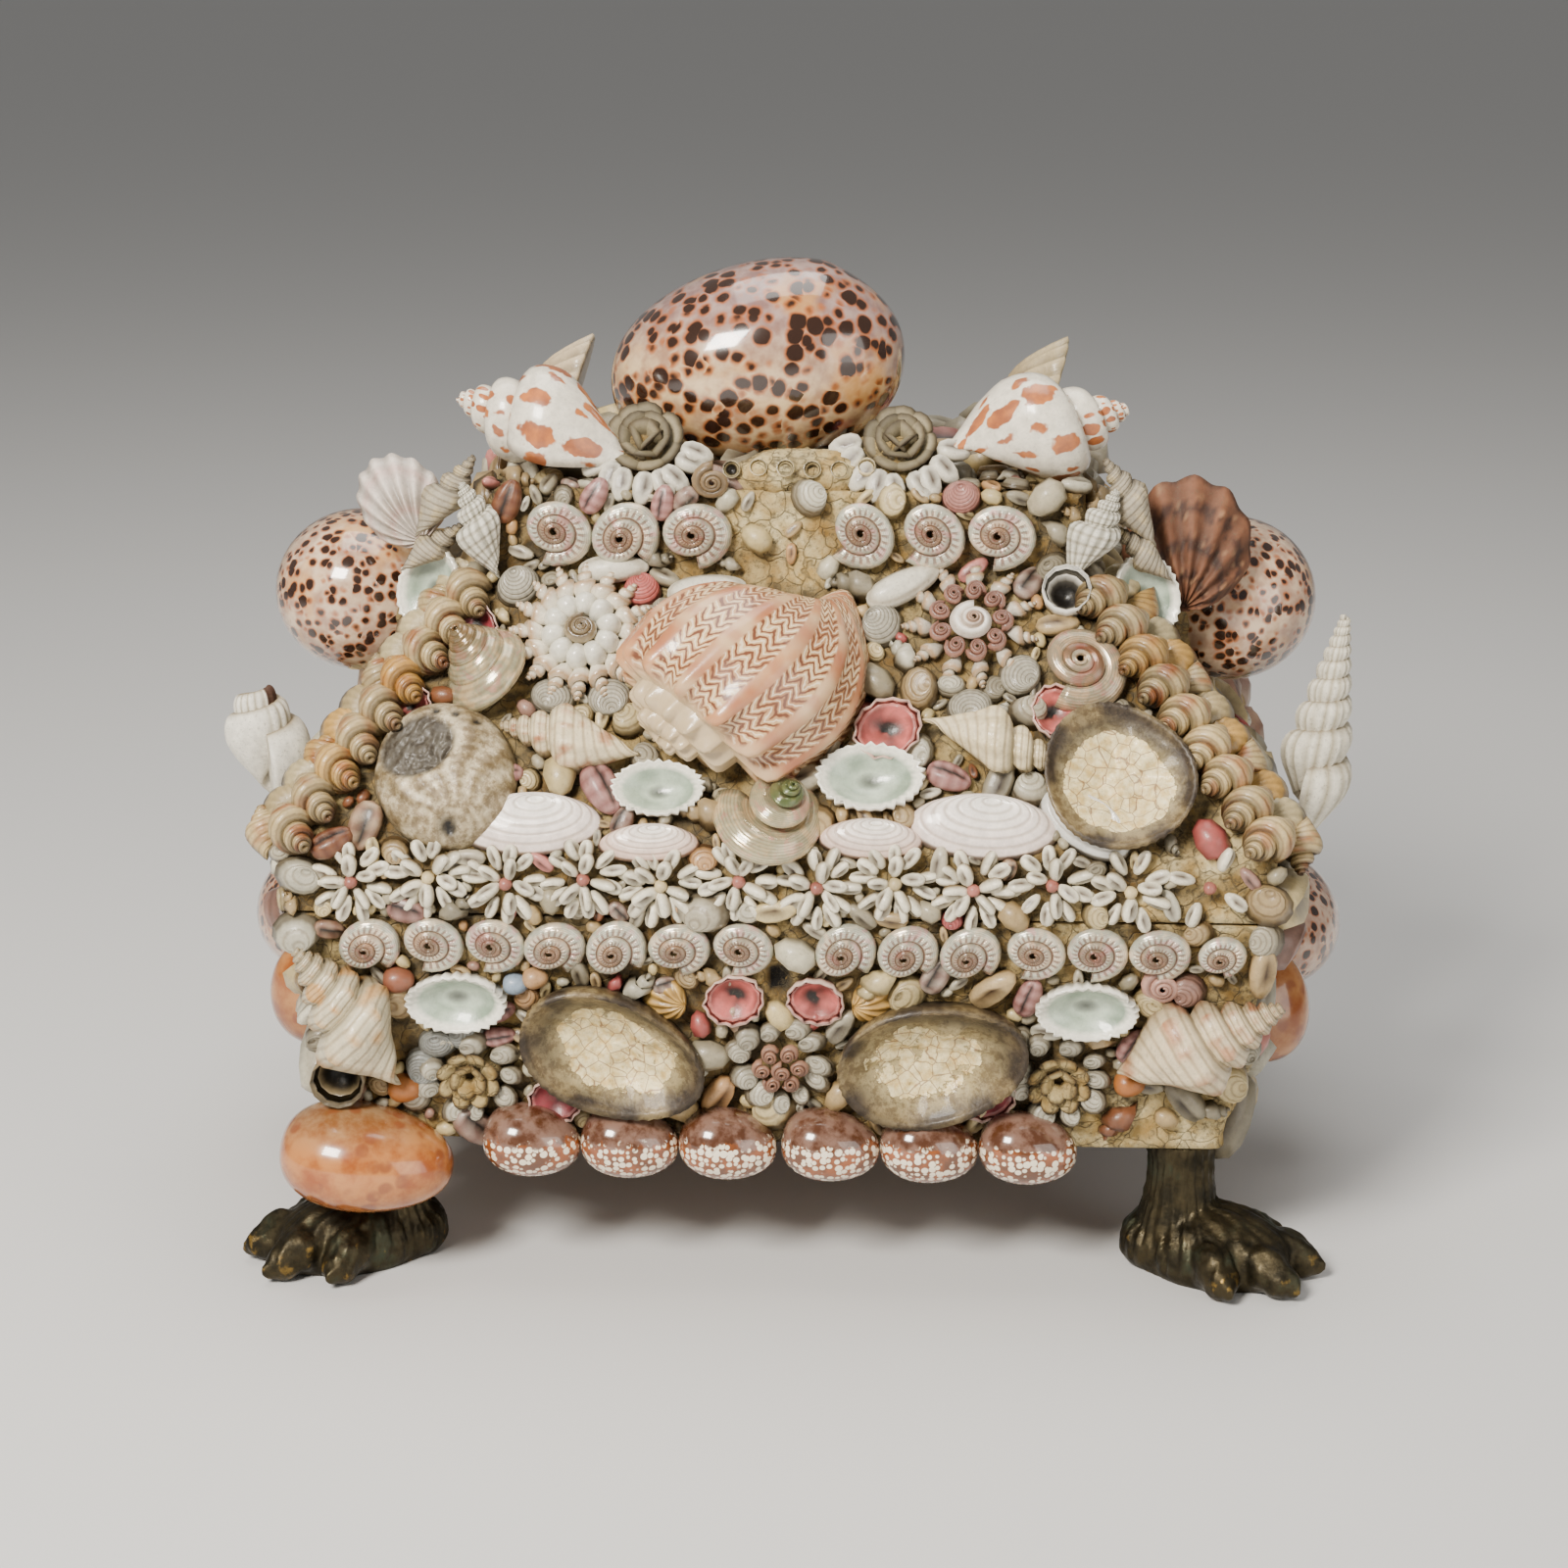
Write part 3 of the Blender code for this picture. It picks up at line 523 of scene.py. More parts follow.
def fan(height, width, thick, ribs, rows=10):
    """A scallop, hinge at the origin and rim towards +X: ridges fan out to a scalloped rim."""
    angle = round_angles(ribs * 8)
    spread = np.where(angle > math.pi, angle - 2 * math.pi, angle) * 0.56
    ridge = np.cos(angle * ribs)
    share = np.concatenate([np.linspace(0.04, 1, rows), (0.96, 0.5)])[:, None]
    reach = height * (0.10 + 0.90 * np.clip(np.cos(spread), 0, 1) ** 0.6) * (1 + 0.022 * ridge * share)
    dome = np.sin(np.clip(share * 1.18 + 0.22, 0, math.pi / 2 * 1.7) * 2) * 0.5 + 0.5
    relief = 0.10 * ridge * np.sin(share * math.pi) ** 0.5
    z = thick * np.clip(1.25 * dome * (1 - share**3) + relief, -0.1, 2)
    z[-2:] = -thick * 0.08
    x = reach * share * np.cos(spread)
    y = reach * share * np.sin(spread) * width / height / 1.155
    shade = 0.78 + 0.22 * ridge + 0 * share
    return Form(np.stack([x, y, z], -1), np.repeat(shade[..., None], 3, -1), None, share + 0 * ridge)


def dish(length, width, height, cols=40, jag=0.0, wall=0.05, deep=0.25):
    """An open shell seen from inside: a bowl, its rim, and its outer side down to the putty."""
    inner = np.array((0.03, 0.16, 0.30, 0.45, 0.60, 0.75, 0.88, 1 - wall))
    share = np.concatenate([inner, (1.0, 0.99, 0.88)])[:, None]
    rise = np.concatenate([deep + (0.94 - deep) * inner**2, (1.0, 0.55, 0.0)])[:, None]
    angle = round_angles(cols)
    teeth = 1 - 2 * (np.arange(cols)[None, :] % 2)
    teeth = teeth * (0.6 + 0.4 * np.sin(5 * angle))
    reach = share * (1 + jag * teeth * smooth(share, 0.7, 1.0))
    x = length / 2 * reach * np.cos(angle)
    y = width / 2 * reach * np.sin(angle)
    return Form(np.stack([x, y, height * rise + 0 * angle], -1), WHITE, None, share + 0 * angle)


def petal(length, width):
    """A slit cup: a white almond with a slot along the outer half of its upper side, painted dark brown for
    the shade inside it.
    """
    rows, cols = 7, 9
    form = cowrie(length, width, width * 0.85, rows, cols, 0.3)
    t = np.linspace(0, math.pi, rows)[:, None]
    slot = smooth(np.sin((np.arange(cols) + 0.25) * 2 * math.pi / cols), 0.72, 1.0) * np.sin(t) ** 1.5
    slot = slot * (1 - smooth(t, 1.5, 2.5))
    form.points[..., 2] -= width * 0.38 * slot
    # Painted shade: the slot is darkened to dark brown.
    form.tint = between(np.ones(3), UMBER * 1.6, slot)
    return plain(form)


def bead(length, width, height, rows=6, cols=9):
    """A pebble-like small shell: an egg sunk by a third."""
    return plain(cowrie(length, width, height, rows, cols))


def snail(length, width, turns=3.0, rows_per_turn=9, cols=8):
    """A small spired shell on its side."""
    return lying(coil(PLUMP, turns, 1.62, int(turns * rows_per_turn), cols), length, width)


def top_snail(width, height, turns=3.0, rows_per_turn=12, cols=9):
    """A small snail seen from its apex."""
    return standing(coil(PEARL, turns, 1.75, int(turns * rows_per_turn), cols), width, height)


def tube_mouth(width, height):
    """A worm's tube standing out of the putty, its hole painted black for the shade inside it."""
    form = dish(width, width, height, 12, 0.0, 0.22, 0.05)
    # Painted shade: black in the middle, where the hole is.
    form.tint = between(BLACK, np.ones(3), smooth(form.zone, 0.55, 0.80))
    return form


# Where shells already are, so that the small ones fill only what is left

taken = [np.zeros((1, 4))]


def claim(place, length, width):
    """Notes the room of a shell that lies along X at this place, as a row of balls inside it."""
    count = max(1, round(length / width * 1.5))
    steps = (np.arange(count) + 0.5) / count - 0.5
    middles = place[:3, 3] + np.outer(steps * (length - width * 0.5), place[:3, 0])
    taken.append(np.column_stack([middles, np.full(count, width * 0.42)]))


# Materials


def add(tree, kind, inputs=None, **settings):
    """A shader node with its settings; an input is a value or another node's socket."""
    node = tree.nodes.new("ShaderNode" + kind)
    for key, value in settings.items():
        setattr(node, key, value)
    for key, value in (inputs or {}).items():
        if isinstance(value, bpy.types.NodeSocket):
            tree.links.new(value, node.inputs[key])
        else:
            node.inputs[key].default_value = value
    return node


def mix(tree, factor, a, b, how="MIX"):
    """A colour between a and b; each is a socket or a colour of three."""
    node = add(tree, "Mix", data_type="RGBA", blend_type=how)
    for key, value in ((0, factor), (6, a), (7, b)):
        if isinstance(value, bpy.types.NodeSocket):
            tree.links.new(value, node.inputs[key])
        elif key:
            node.inputs[key].default_value = (*value, 1)
        else:
            node.inputs[key].default_value = value
    return node.outputs[2]


def ramp(tree, value, low, high, start=0.0, end=1.0):
    """start where the value is low, end where it is high, smoothly between."""
    inputs = {"Value": value, "From Min": low, "From Max": high, "To Min": start, "To Max": end}
    return add(tree, "MapRange", inputs, interpolation_type="SMOOTHSTEP").outputs["Result"]


def maths(tree, operation, a, b=0.0, c=0.0):
    return add(tree, "Math", {0: a, 1: b, 2: c}, operation=operation).outputs[0]


def put(node, form, place, finish, slot, room, name=None):
    """Sets one large shell in place of its CAD node, and claims its room, a length and a width."""
    build(name or f"{node}_shell", [form.at(place)], finish, [node])
    claim(place, *room)


def noise(tree, vector, scale, detail=3.0, roughness=0.6, distortion=0.0):
    inputs = {"Vector": vector, "Scale": scale, "Detail": detail, "Roughness": roughness}
    inputs["Distortion"] = distortion
    return add(tree, "TexNoise", inputs).outputs["Fac"]


def clouds(tree, space, scale, detail, low, high, start=0.0, end=1.0):
    """Noise sharpened to clouds: start where it is low, end where it is high."""
    return ramp(tree, noise(tree, space, scale, detail), low, high, start, end)


def times(tree, a, b):
    return maths(tree, "MULTIPLY", a, b)


def zone_of(tree):
    return add(tree, "Attribute", attribute_name="zone").outputs["Fac"]


def skin_of(tree):
    return add(tree, "UVMap", uv_map="skin").outputs["UV"]


def bent(tree, space, vector, scale, amount):
    """The vector moved about by noise of that scale, by up to that amount."""
    bend = add(tree, "TexNoise", {"Vector": space, "Scale": scale}).outputs["Color"]
    return mix(tree, 1.0, vector, tint_times(tree, bend, np.full(3, amount)), "ADD")


def chance_of(tree, pattern):
    """A random number for each cell of a pattern."""
    return add(tree, "SeparateColor", {0: pattern.outputs["Color"]}).outputs[0]


def cells(tree, vector, scale, feature="F1", randomness=1.0):
    inputs = {"Vector": vector, "Scale": scale, "Randomness": randomness}
    return add(tree, "TexVoronoi", inputs, feature=feature)


def start_material(name, roughness, metallic=0.0, coat=0.0):
    material = bpy.data.materials.new(name)
    material.use_nodes = True
    tree = material.node_tree
    shader = tree.nodes["Principled BSDF"]
    shader.inputs["Roughness"].default_value = roughness
    shader.inputs["Metallic"].default_value = metallic
    shader.inputs["Coat Weight"].default_value = coat
    shader.inputs["Coat Roughness"].default_value = 0.06
    space = add(tree, "TexCoord").outputs["Object"]
    tint = add(tree, "Attribute", attribute_name="tint").outputs["Color"]
    return tree, shader, space, tint


def colour_it(tree, shader, colour, height=None, depth=0.0002, strength=0.5):
    """Gives the shader its colour, and a bump from a height socket."""
    tree.links.new(colour, shader.inputs["Base Color"])
    if height is not None:
        bump = add(tree, "Bump", {"Height": height, "Distance": depth, "Strength": strength})
        tree.links.new(bump.outputs["Normal"], shader.inputs["Normal"])


def weathered(tree, space, colour, dirt):
    """The colour made uneven by soft clouds and by fine grime in spots."""
    shade = clouds(tree, space, 320, 4, 0.25, 0.75, 0.80, 1.06)
    grey = add(tree, "CombineColor", {0: shade, 1: shade, 2: shade}).outputs[0]
    grime = ramp(tree, noise(tree, space, 900, 5, 0.7), 0.52, 0.74, 0.0, dirt)
    return mix(tree, grime, mix(tree, 1.0, colour, grey, "MULTIPLY"), PUTTY_DARK)


def with_cords(form, count):
    """Marks a snail with fine spiral grooves, which the plain shell materials draw from the zone."""
    form.zone = form.side * count
    return form


def make_plain_shells():
    """Chalky, satin and glossy shell of the piece's own tint, with a groove wherever zone passes a half."""
    finishes = (
        ("chalky shell", 0.72, 0.0, 0.60),
        ("satin shell", 0.40, 0.15, 0.45),
        ("glossy shell", 0.22, 0.5, 0.20),
    )
    for name, roughness, coat, dirt in finishes:
        tree, shader, space, tint = start_material(name, roughness, 0.0, coat)
        groove = ramp(tree, maths(tree, "PINGPONG", zone_of(tree), 0.5), 0.22, 0.5)
        dark = tint_times(tree, tint, linear(150, 128, 98))
        colour = weathered(tree, space, mix(tree, times(tree, groove, 0.42), tint, dark), dirt)
        height = maths(tree, "SUBTRACT", times(tree, noise(tree, space, 1400, 4), 0.5), groove)
        colour_it(tree, shader, colour, height, 0.0004, 0.6)


def make_putty():
    """Putty: clouds of cream and tan, thin cracks between plates, grit, and more dark specks in the hollows
    that the zone marks, as dirt and painted shade.
    """
    tree, shader, space, tint = start_material("putty coat", 0.86)
    cloud = ramp(tree, noise(tree, space, 95, 5, 0.65), 0.32, 0.70)
    colour = mix(tree, cloud, tint, tint_times(tree, tint, linear(200, 178, 132)))
    plates = cells(tree, bent(tree, space, space, 90.0, 0.012), 120.0, "DISTANCE_TO_EDGE")
    line = ramp(tree, plates.outputs["Distance"], 0.0, 0.05, 1.0, 0.0)
    colour = mix(tree, times(tree, line, 0.6), colour, PUTTY_DARK)
    grit = noise(tree, space, 500, 8, 0.75)
    # The zone marks the hollows: more specks there are dirt and painted shade.
    dirt = times(tree, zone_of(tree), 0.16)
    speck = ramp(tree, maths(tree, "ADD", grit, dirt), 0.50, 0.66, 0.0, 0.75)
    colour = mix(tree, speck, colour, linear(84, 74, 54))
    height = maths(tree, "SUBTRACT", times(tree, grit, 1.4), times(tree, line, 0.6))
    colour_it(tree, shader, colour, height, 0.0011, 0.9)


def make_spotted(name, scale, small, large):
    """A cowrie's dark spots with amber rims: scale to a metre, small and large their sizes in cells."""
    tree, shader, space, tint = start_material(name, 0.16, 0.0, 0.9)
    spots = cells(tree, bent(tree, space, space, 160.0, 0.003), scale, "F1", 0.8)
    size = ramp(tree, chance_of(tree, spots), 0.0, 1.0, small, large)
    edge = maths(tree, "SUBTRACT", spots.outputs["Distance"], size)
    amber = times(tree, clouds(tree, space, 38, 3, 0.50, 0.66), 0.55)
    lilac = tint_times(tree, tint, LILAC * 1.3)
    base = mix(tree, clouds(tree, space, 120, 3, 0.3, 0.7), tint, lilac)
    base = mix(tree, amber, base, AMBER)
    halo = mix(tree, ramp(tree, edge, -0.02, 0.17, 0.80, 0.0), base, RUST * 0.9)
    core = mix(tree, ramp(tree, edge, -0.11, 0.03, 1.0, 0.0), halo, UMBER * 0.8)
    colour_it(tree, shader, core)


def tint_times(tree, tint, colour):
    return mix(tree, 1.0, tint, np.minimum(colour, 1.0), "MULTIPLY")


def make_mottled():
    """The orange cowries: tan, with faint red brown blotches and amber clouds."""
    tree, shader, space, tint = start_material("mottled cowrie", 0.22, 0.0, 0.7)
    spots = cells(tree, space, 130.0).outputs["Distance"]
    where = clouds(tree, space, 70, 3, 0.40, 0.56)
    blotch = times(tree, times(tree, ramp(tree, spots, 0.28, 0.46, 1.0, 0.0), where), 0.8)
    amber = tint_times(tree, tint, linear(204, 160, 112))
    base = mix(tree, clouds(tree, space, 75, 5, 0.35, 0.65), tint, amber)
    colour_it(tree, shader, mix(tree, blotch, base, linear(134, 72, 40)))


def make_netted():
    """The small brown cowries: cream dots on amber brown below, a lilac brown margin above, by zone."""
    tree, shader, space, _ = start_material("netted cowrie", 0.16, 0.0, 0.9)
    dots = cells(tree, space, 400.0, "F1", 0.55)
    size = ramp(tree, chance_of(tree, dots), 0.0, 1.0, 0.34, 0.56)
    inside = ramp(tree, maths(tree, "SUBTRACT", dots.outputs["Distance"], size), -0.06, 0.06, 1.0, 0.0)
    ground = mix(tree, clouds(tree, space, 140, 3, 0.35, 0.65), RUST * 0.75, BROWN * 0.8)
    netted = mix(tree, inside, ground, linear(244, 230, 204))
    margin = mix(tree, clouds(tree, space, 150, 4, 0.36, 0.62), BROWN * 0.5, linear(128, 98, 84))
    ragged = maths(tree, "ADD", zone_of(tree), clouds(tree, space, 240, 3, 0.2, 0.8, -0.22, 0.22))
    colour_it(tree, shader, mix(tree, ramp(tree, ragged, 0.40, 0.54), margin, netted))


def make_harp():
    """Pale flat ribs; between them nested brown and cream chevrons. Reads turn and side from the skin map."""
    tree, shader, space, tint = start_material("harp shell", 0.32, 0.0, 0.35)
    parts = add(tree, "SeparateXYZ", {0: skin_of(tree)})
    rib = times(tree, parts.outputs["X"], float(HARP_RIBS))
    middle = maths(tree, "ABSOLUTE", maths(tree, "SUBTRACT", maths(tree, "FRACT", rib), 0.5))
    teeth = times(tree, maths(tree, "PINGPONG", times(tree, rib, 3.0), 0.5), 1.9)
    wobble = times(tree, noise(tree, space, 110, 3), 2.4)
    run = times(tree, parts.outputs["Y"], 40.0)
    phase = maths(tree, "ADD", maths(tree, "ADD", run, teeth), wobble)
    band = maths(tree, "PINGPONG", phase, 0.5)
    ground = mix(tree, clouds(tree, space, 70, 3, 0.35, 0.65), linear(214, 178, 130), linear(172, 122, 82))
    chevron = mix(tree, ramp(tree, band, 0.08, 0.24), linear(112, 66, 44), ground)
    chevron = mix(tree, ramp(tree, band, 0.36, 0.46, 0.0, 0.7), chevron, linear(244, 228, 200))
    pink = tint_times(tree, tint, linear(240, 206, 186))
    glow = mix(tree, clouds(tree, space, 60, 3, 0.35, 0.65), tint, pink)
    bars = maths(tree, "PINGPONG", times(tree, parts.outputs["Y"], 9.0), 0.5)
    striped = mix(tree, ramp(tree, bars, 0.30, 0.46, 0.0, 0.42), glow, linear(168, 104, 78))
    pattern = mix(tree, ramp(tree, middle, 0.13, 0.19), striped, chevron)
    fine = noise(tree, space, 1200, 3)
    colour_it(tree, shader, mix(tree, zone_of(tree), tint, pattern), fine, 0.0002, 0.3)


def make_patched():
    """The large whelks: white with rows of orange tan patches. Reads the skin map."""
    tree, shader, space, tint = start_material("patched whelk", 0.28, 0.0, 0.4)
    stretched = add(tree, "Mapping", {"Vector": skin_of(tree), "Scale": (13.0, 5.5, 1.0)}).outputs[0]
    patches = cells(tree, bent(tree, space, stretched, 190.0, 0.55), 1.0, "F1", 0.55)
    size = ramp(tree, chance_of(tree, patches), 0.0, 1.0, 0.18, 0.48)
    edge = maths(tree, "SUBTRACT", patches.outputs["Distance"], size)
    patch = mix(tree, clouds(tree, space, 160, 3, 0.3, 0.7), linear(190, 108, 44), linear(140, 70, 28))
    base = weathered(tree, space, tint, 0.3)
    colour = mix(tree, ramp(tree, edge, -0.05, 0.02, 0.95, 0.0), base, patch)
    colour_it(tree, shader, colour, noise(tree, space, 900, 3), 0.0002, 0.3)


def make_pearl(name, crimps):
    """Mother of pearl with fine spiral silk; with crimps, that many rose brown notches to a turn."""
    tree, shader, space, tint = start_material(name, 0.20, 0.30, 0.7)
    turn = add(tree, "SeparateXYZ", {0: skin_of(tree)}).outputs["X"]
    side = zone_of(tree)
    cloud = noise(tree, space, 150, 3, 0.5, 1.0)
    sheen = mix(tree, ramp(tree, cloud, 0.34, 0.48), linear(232, 196, 196), linear(206, 216, 206))
    sheen = mix(tree, ramp(tree, cloud, 0.48, 0.66), sheen, linear(250, 238, 216))
    colour = mix(tree, 0.9, tint, sheen, "MULTIPLY")
    silk = maths(tree, "PINGPONG", times(tree, side, 14.0), 0.5)
    dark = tint_times(tree, colour, linear(170, 146, 120))
    colour = mix(tree, ramp(tree, silk, 0.05, 0.36, 0.35, 0.0), colour, dark)
    height = times(tree, silk, 0.4)
    if crimps:
        beat = maths(tree, "PINGPONG", times(tree, turn, float(crimps)), 0.5)
        near = times(tree, ramp(tree, side, 0.26, 0.46, 1.0, 0.0), ramp(tree, side, 0.08, 0.16))
        notch = times(tree, ramp(tree, beat, 0.12, 0.28, 1.0, 0.0), near)
        seam = ramp(tree, side, 0.08, 0.15, 0.85, 0.0)
        mark = maths(tree, "MAXIMUM", times(tree, notch, 0.75), seam)
        colour = mix(tree, mark, colour, linear(120, 82, 66))
        height = maths(tree, "SUBTRACT", height, times(tree, notch, 1.2))
    colour_it(tree, shader, weathered(tree, space, colour, 0.3), height, 0.0005, 0.6)


def make_abalone():
    """Worn pearl: brown grey outside, flaking to cream and gold where the zone says so."""
    tree, shader, space, tint = start_material("abalone shell", 0.52, 0.10, 0.08)
    flake = noise(tree, space, 130, 5, 0.65)
    sharp = ramp(tree, maths(tree, "ADD", flake, times(tree, zone_of(tree), 0.25)), 0.58, 0.61)
    cracks = cells(tree, space, 170.0, "DISTANCE_TO_EDGE").outputs["Distance"]
    gold = mix(tree, clouds(tree, space, 300, 4, 0.35, 0.7), linear(238, 222, 172), linear(206, 176, 110))
    gold = mix(tree, ramp(tree, cracks, 0.0, 0.04, 0.8, 0.0), gold, BROWN)
    blotch = ramp(tree, noise(tree, space, 260, 8, 0.75), 0.44, 0.58, 0.0, 0.7)
    dull = mix(tree, blotch, tint, tint_times(tree, tint, linear(150, 132, 104)))
    colour = weathered(tree, space, mix(tree, sharp, dull, gold), 0.5)
    colour_it(tree, shader, colour, maths(tree, "ADD", flake, sharp), 0.0010, 0.7)


def make_bronze():
    """Dark cast metal, green in its hollows and rubbed to dull gold on its edges, which the zone marks."""
    tree, shader, space, _ = start_material("cast bronze", 0.42, 0.85)
    shader.inputs["Specular IOR Level"].default_value = 0.4
    dark = mix(tree, clouds(tree, space, 120, 5, 0.35, 0.65), linear(44, 40, 30), linear(70, 62, 44))
    green = mix(tree, clouds(tree, space, 60, 4, 0.52, 0.70, 0.0, 0.7), dark, linear(58, 70, 58))
    worn = maths(tree, "ADD", zone_of(tree), clouds(tree, space, 260, 5, 0.3, 0.7, -0.35, 0.35))
    colour = mix(tree, ramp(tree, worn, 0.80, 1.25), green, GOLD * 0.6)
    tree.links.new(clouds(tree, space, 300, 4, 0.3, 0.7, 0.34, 0.60), shader.inputs["Roughness"])
    colour_it(tree, shader, colour, noise(tree, space, 650, 5), 0.0004, 0.5)


def make_wood():
    """Bare pine: long rings of light and dark along X, dulled with age."""
    tree, shader, space, _ = start_material("pine", 0.68)
    long_way = add(tree, "Mapping", {"Vector": space, "Scale": (4.0, 60.0, 60.0)}).outputs[0]
    rings = noise(tree, long_way, 4.0, 4, 0.6, 1.2)
    colour = mix(tree, ramp(tree, rings, 0.35, 0.65), linear(140, 106, 66), linear(96, 68, 42))
    colour_it(tree, shader, weathered(tree, space, colour, 0.4), rings, 0.0004, 0.4)


HARP_RIBS = 13


def make_materials():
    make_plain_shells()
    make_putty()
    make_spotted("spotted cowrie", 165.0, 0.34, 0.58)
    make_spotted("finely spotted cowrie", 235.0, 0.28, 0.56)
    make_mottled()
    make_netted()
    make_harp()
    make_patched()
    make_pearl("smooth pearl", 0)
    make_pearl("crimped pearl", 24)
    make_abalone()
    make_bronze()
    make_wood()


# Putty


def half_at(z, inset=0.0):
    """Half width and half depth of the outer form at height z, less inset."""
    heights = [FOOT_HEIGHT, SEAM, BAND_TOP, SLOPE_TOP, PLATFORM]
    halves = np.array([BASE_HALF, RIM_HALF, RIM_HALF, CROWN_HALF, CROWN_HALF])
    return np.stack([np.interp(z, heights, halves[:, k]) for k in (0, 1)], -1) - inset


def rectangle(halves, steps, corner=0.005):
    """Points round a rectangle with small round corners, for each row of halves, evenly spaced at the rim."""
    quarter = np.linspace(0, math.pi / 2, 4)
    loops = []
    for turn, (sx, sy) in enumerate(((1, 1), (-1, 1), (-1, -1), (1, -1))):
        angle = quarter + turn * math.pi / 2
        loops.append(np.stack([np.full(4, sx), np.full(4, sy), np.cos(angle), np.sin(angle)], -1))
    knots = np.concatenate(loops + [loops[0][:1]])
    rim = knots[:, :2] * (np.array(RIM_HALF) - corner) + knots[:, 2:] * corner
    length = np.concatenate([[0], np.cumsum(np.linalg.norm(np.diff(rim, axis=0), axis=1))])
    wanted = np.arange(steps) * length[-1] / steps
    knot = np.stack([np.interp(wanted, length, knots[:, k]) for k in range(4)], -1)
    inner = np.maximum(halves[:, None, :] - corner, 0.0)
    round_by = np.minimum(halves.min(axis=1), corner)[:, None, None]
    return knot[None, :, :2] * inner + knot[None, :, 2:] * round_by


def near_box(points, low, high, soft=0.006):
    """1 inside a box, 0 well outside it."""
    out = np.maximum(np.array(low) - points, points - np.array(high)).clip(0)
    return 1 - smooth(np.linalg.norm(out, axis=-1) + 0.002 * waves(points, 0.012, 90), 0.0, soft)


def bareness(points):
    """Where shells have fallen off and the cream putty shows: a crown patch and two right-hand corners."""
    crown = near_box(points, (-0.018, -0.12, 0.243), (0.022, -0.05, 0.285))
    lid_corner = near_box(points, (0.128, -0.15, 0.158), (0.175, -0.095, 0.212))
    box_corner = near_box(points, (0.102, -0.13, 0.045), (0.160, -0.100, 0.072))
    rim = near_box(points, (0.085, -0.14, 0.134), (0.175, -0.120, 0.143), 0.003)
    return np.clip(crown + lid_corner + box_corner + rim, 0, 1)


def lumpy(points, amount, seed):
    """The grid moved in by lumps, and by terraces of flakes where it is bare; and each point's height."""
    lumps = 0.5 * waves(points, 0.016, seed) + 0.5 * waves(points, 0.006, seed + 1) - 0.7
    level = waves(points, 0.030, seed + 2) * 1.4 + waves(points, 0.008, seed + 3) * 0.35
    flakes = np.floor(level) + smooth(level % 1, 0.80, 1.0)
    bare = bareness(points)
    height = np.clip(lumps, -2.5, 0.4) * (1 - bare) + flakes * 0.9 * bare
    return Form(points).raised(amount * height).points, height


def putty_form(points, amount, seed, ring=False):
    """A lumpy grid in its colours: grey brown between the shells, partly grime and partly painted shade for
    the gaps among them; cream where bare; painted shade and dirt darkening the hollows.
    """
    points, height = lumpy(points, amount, seed)
    bare = bareness(points)
    stain = smooth(waves(points, 0.05, 78), -0.8, 0.9)
    # The grey brown coat is grime and also painted shade for the dark gaps between the shells.
    coat = between(linear(184, 162, 110), linear(140, 120, 80), stain)
    cream = between(linear(232, 216, 168), linear(196, 172, 118), smooth(waves(points, 0.02, 79), -0.4, 1.2))
    tint = between(coat, cream, bare)
    # Painted shade, with some dirt: the hollows of the lumps are darkened, and the zone carries this to the
    # putty material.
    dirt = smooth(-height, 0.2, 1.8) * (1 - 0.6 * bare)
    return Form(points, between(tint, linear(72, 62, 44), dirt * 0.7), None, dirt, ring)


def make_putty_coats():
    """The coats on the box and the lid, each a closed skin that goes up outside and down inside."""
    steps = 420
    outer = np.linspace(FOOT_HEIGHT, SEAM - SEAM_GAP / 2, 34)
    inner = outer[::-11]
    z = np.concatenate([outer, inner])
    halves = np.concatenate([half_at(outer), half_at(inner, PUTTY)])
    amount = np.zeros(len(z))
    amount[1 : len(outer) - 1] = 0.0011
    form = putty_form(sleeve(halves, z, steps), amount[:, None], 11, ring=True)
    form = with_keyhole(form)
    build("box_putty_coat", [form], "putty coat", ["box_putty"])
    foot = SEAM + SEAM_GAP / 2
    rise = np.concatenate([np.linspace(foot, BAND_TOP, 10), np.linspace(BAND_TOP, SLOPE_TOP, 38)[1:]])
    rise = np.concatenate([rise, np.linspace(SLOPE_TOP, PLATFORM, 14)[1:]])
    top = np.array(CROWN_HALF) * np.linspace(1, 0.02, 26)[1:, None]
    roof = (np.array(CROWN_HALF) - PUTTY) * np.linspace(0.05, 1, 4)[:, None]
    under = np.array((SLOPE_TOP, BAND_TOP, foot))
    z = np.concatenate([np.full(4, PLATFORM - PUTTY), under, rise, np.full(25, PLATFORM)])
    halves = np.concatenate([roof, half_at(under, PUTTY), half_at(rise), top])
    amount = np.where(np.arange(len(z)) < 8, 0, 0.0011)
    forms = [putty_form(sleeve(halves, z, steps), amount[:, None], 21)]
    forms += [cowrie_bed(side) for side in ("left", "right")]
    build("lid_putty_coat", forms, "putty coat", ["lid_putty"])


def upper_cowrie_frame(side):
    """The seat of the cowrie at one end of the lid: Z out of the end and a little up, X along it."""
    sx = -1 if side == "left" else 1
    return shifted(sx * (CROWN_HALF[0] + 0.042), 0.004, SLOPE_TOP - 0.026) @ turned(sx * 78, "Y") @ turned(90)


def sleeve(halves, z, steps):
    """A grid round the box: one rectangle for each row of half sizes, at its height."""
    flat = rectangle(halves, steps)
    return np.concatenate([flat, np.broadcast_to(z[:, None, None], (*flat.shape[:2], 1))], -1)


KEYHOLE = facing("front", "wall", 0, 0) @ shifted(0, BOX_HEIGHT - KEYHOLE_DROP)


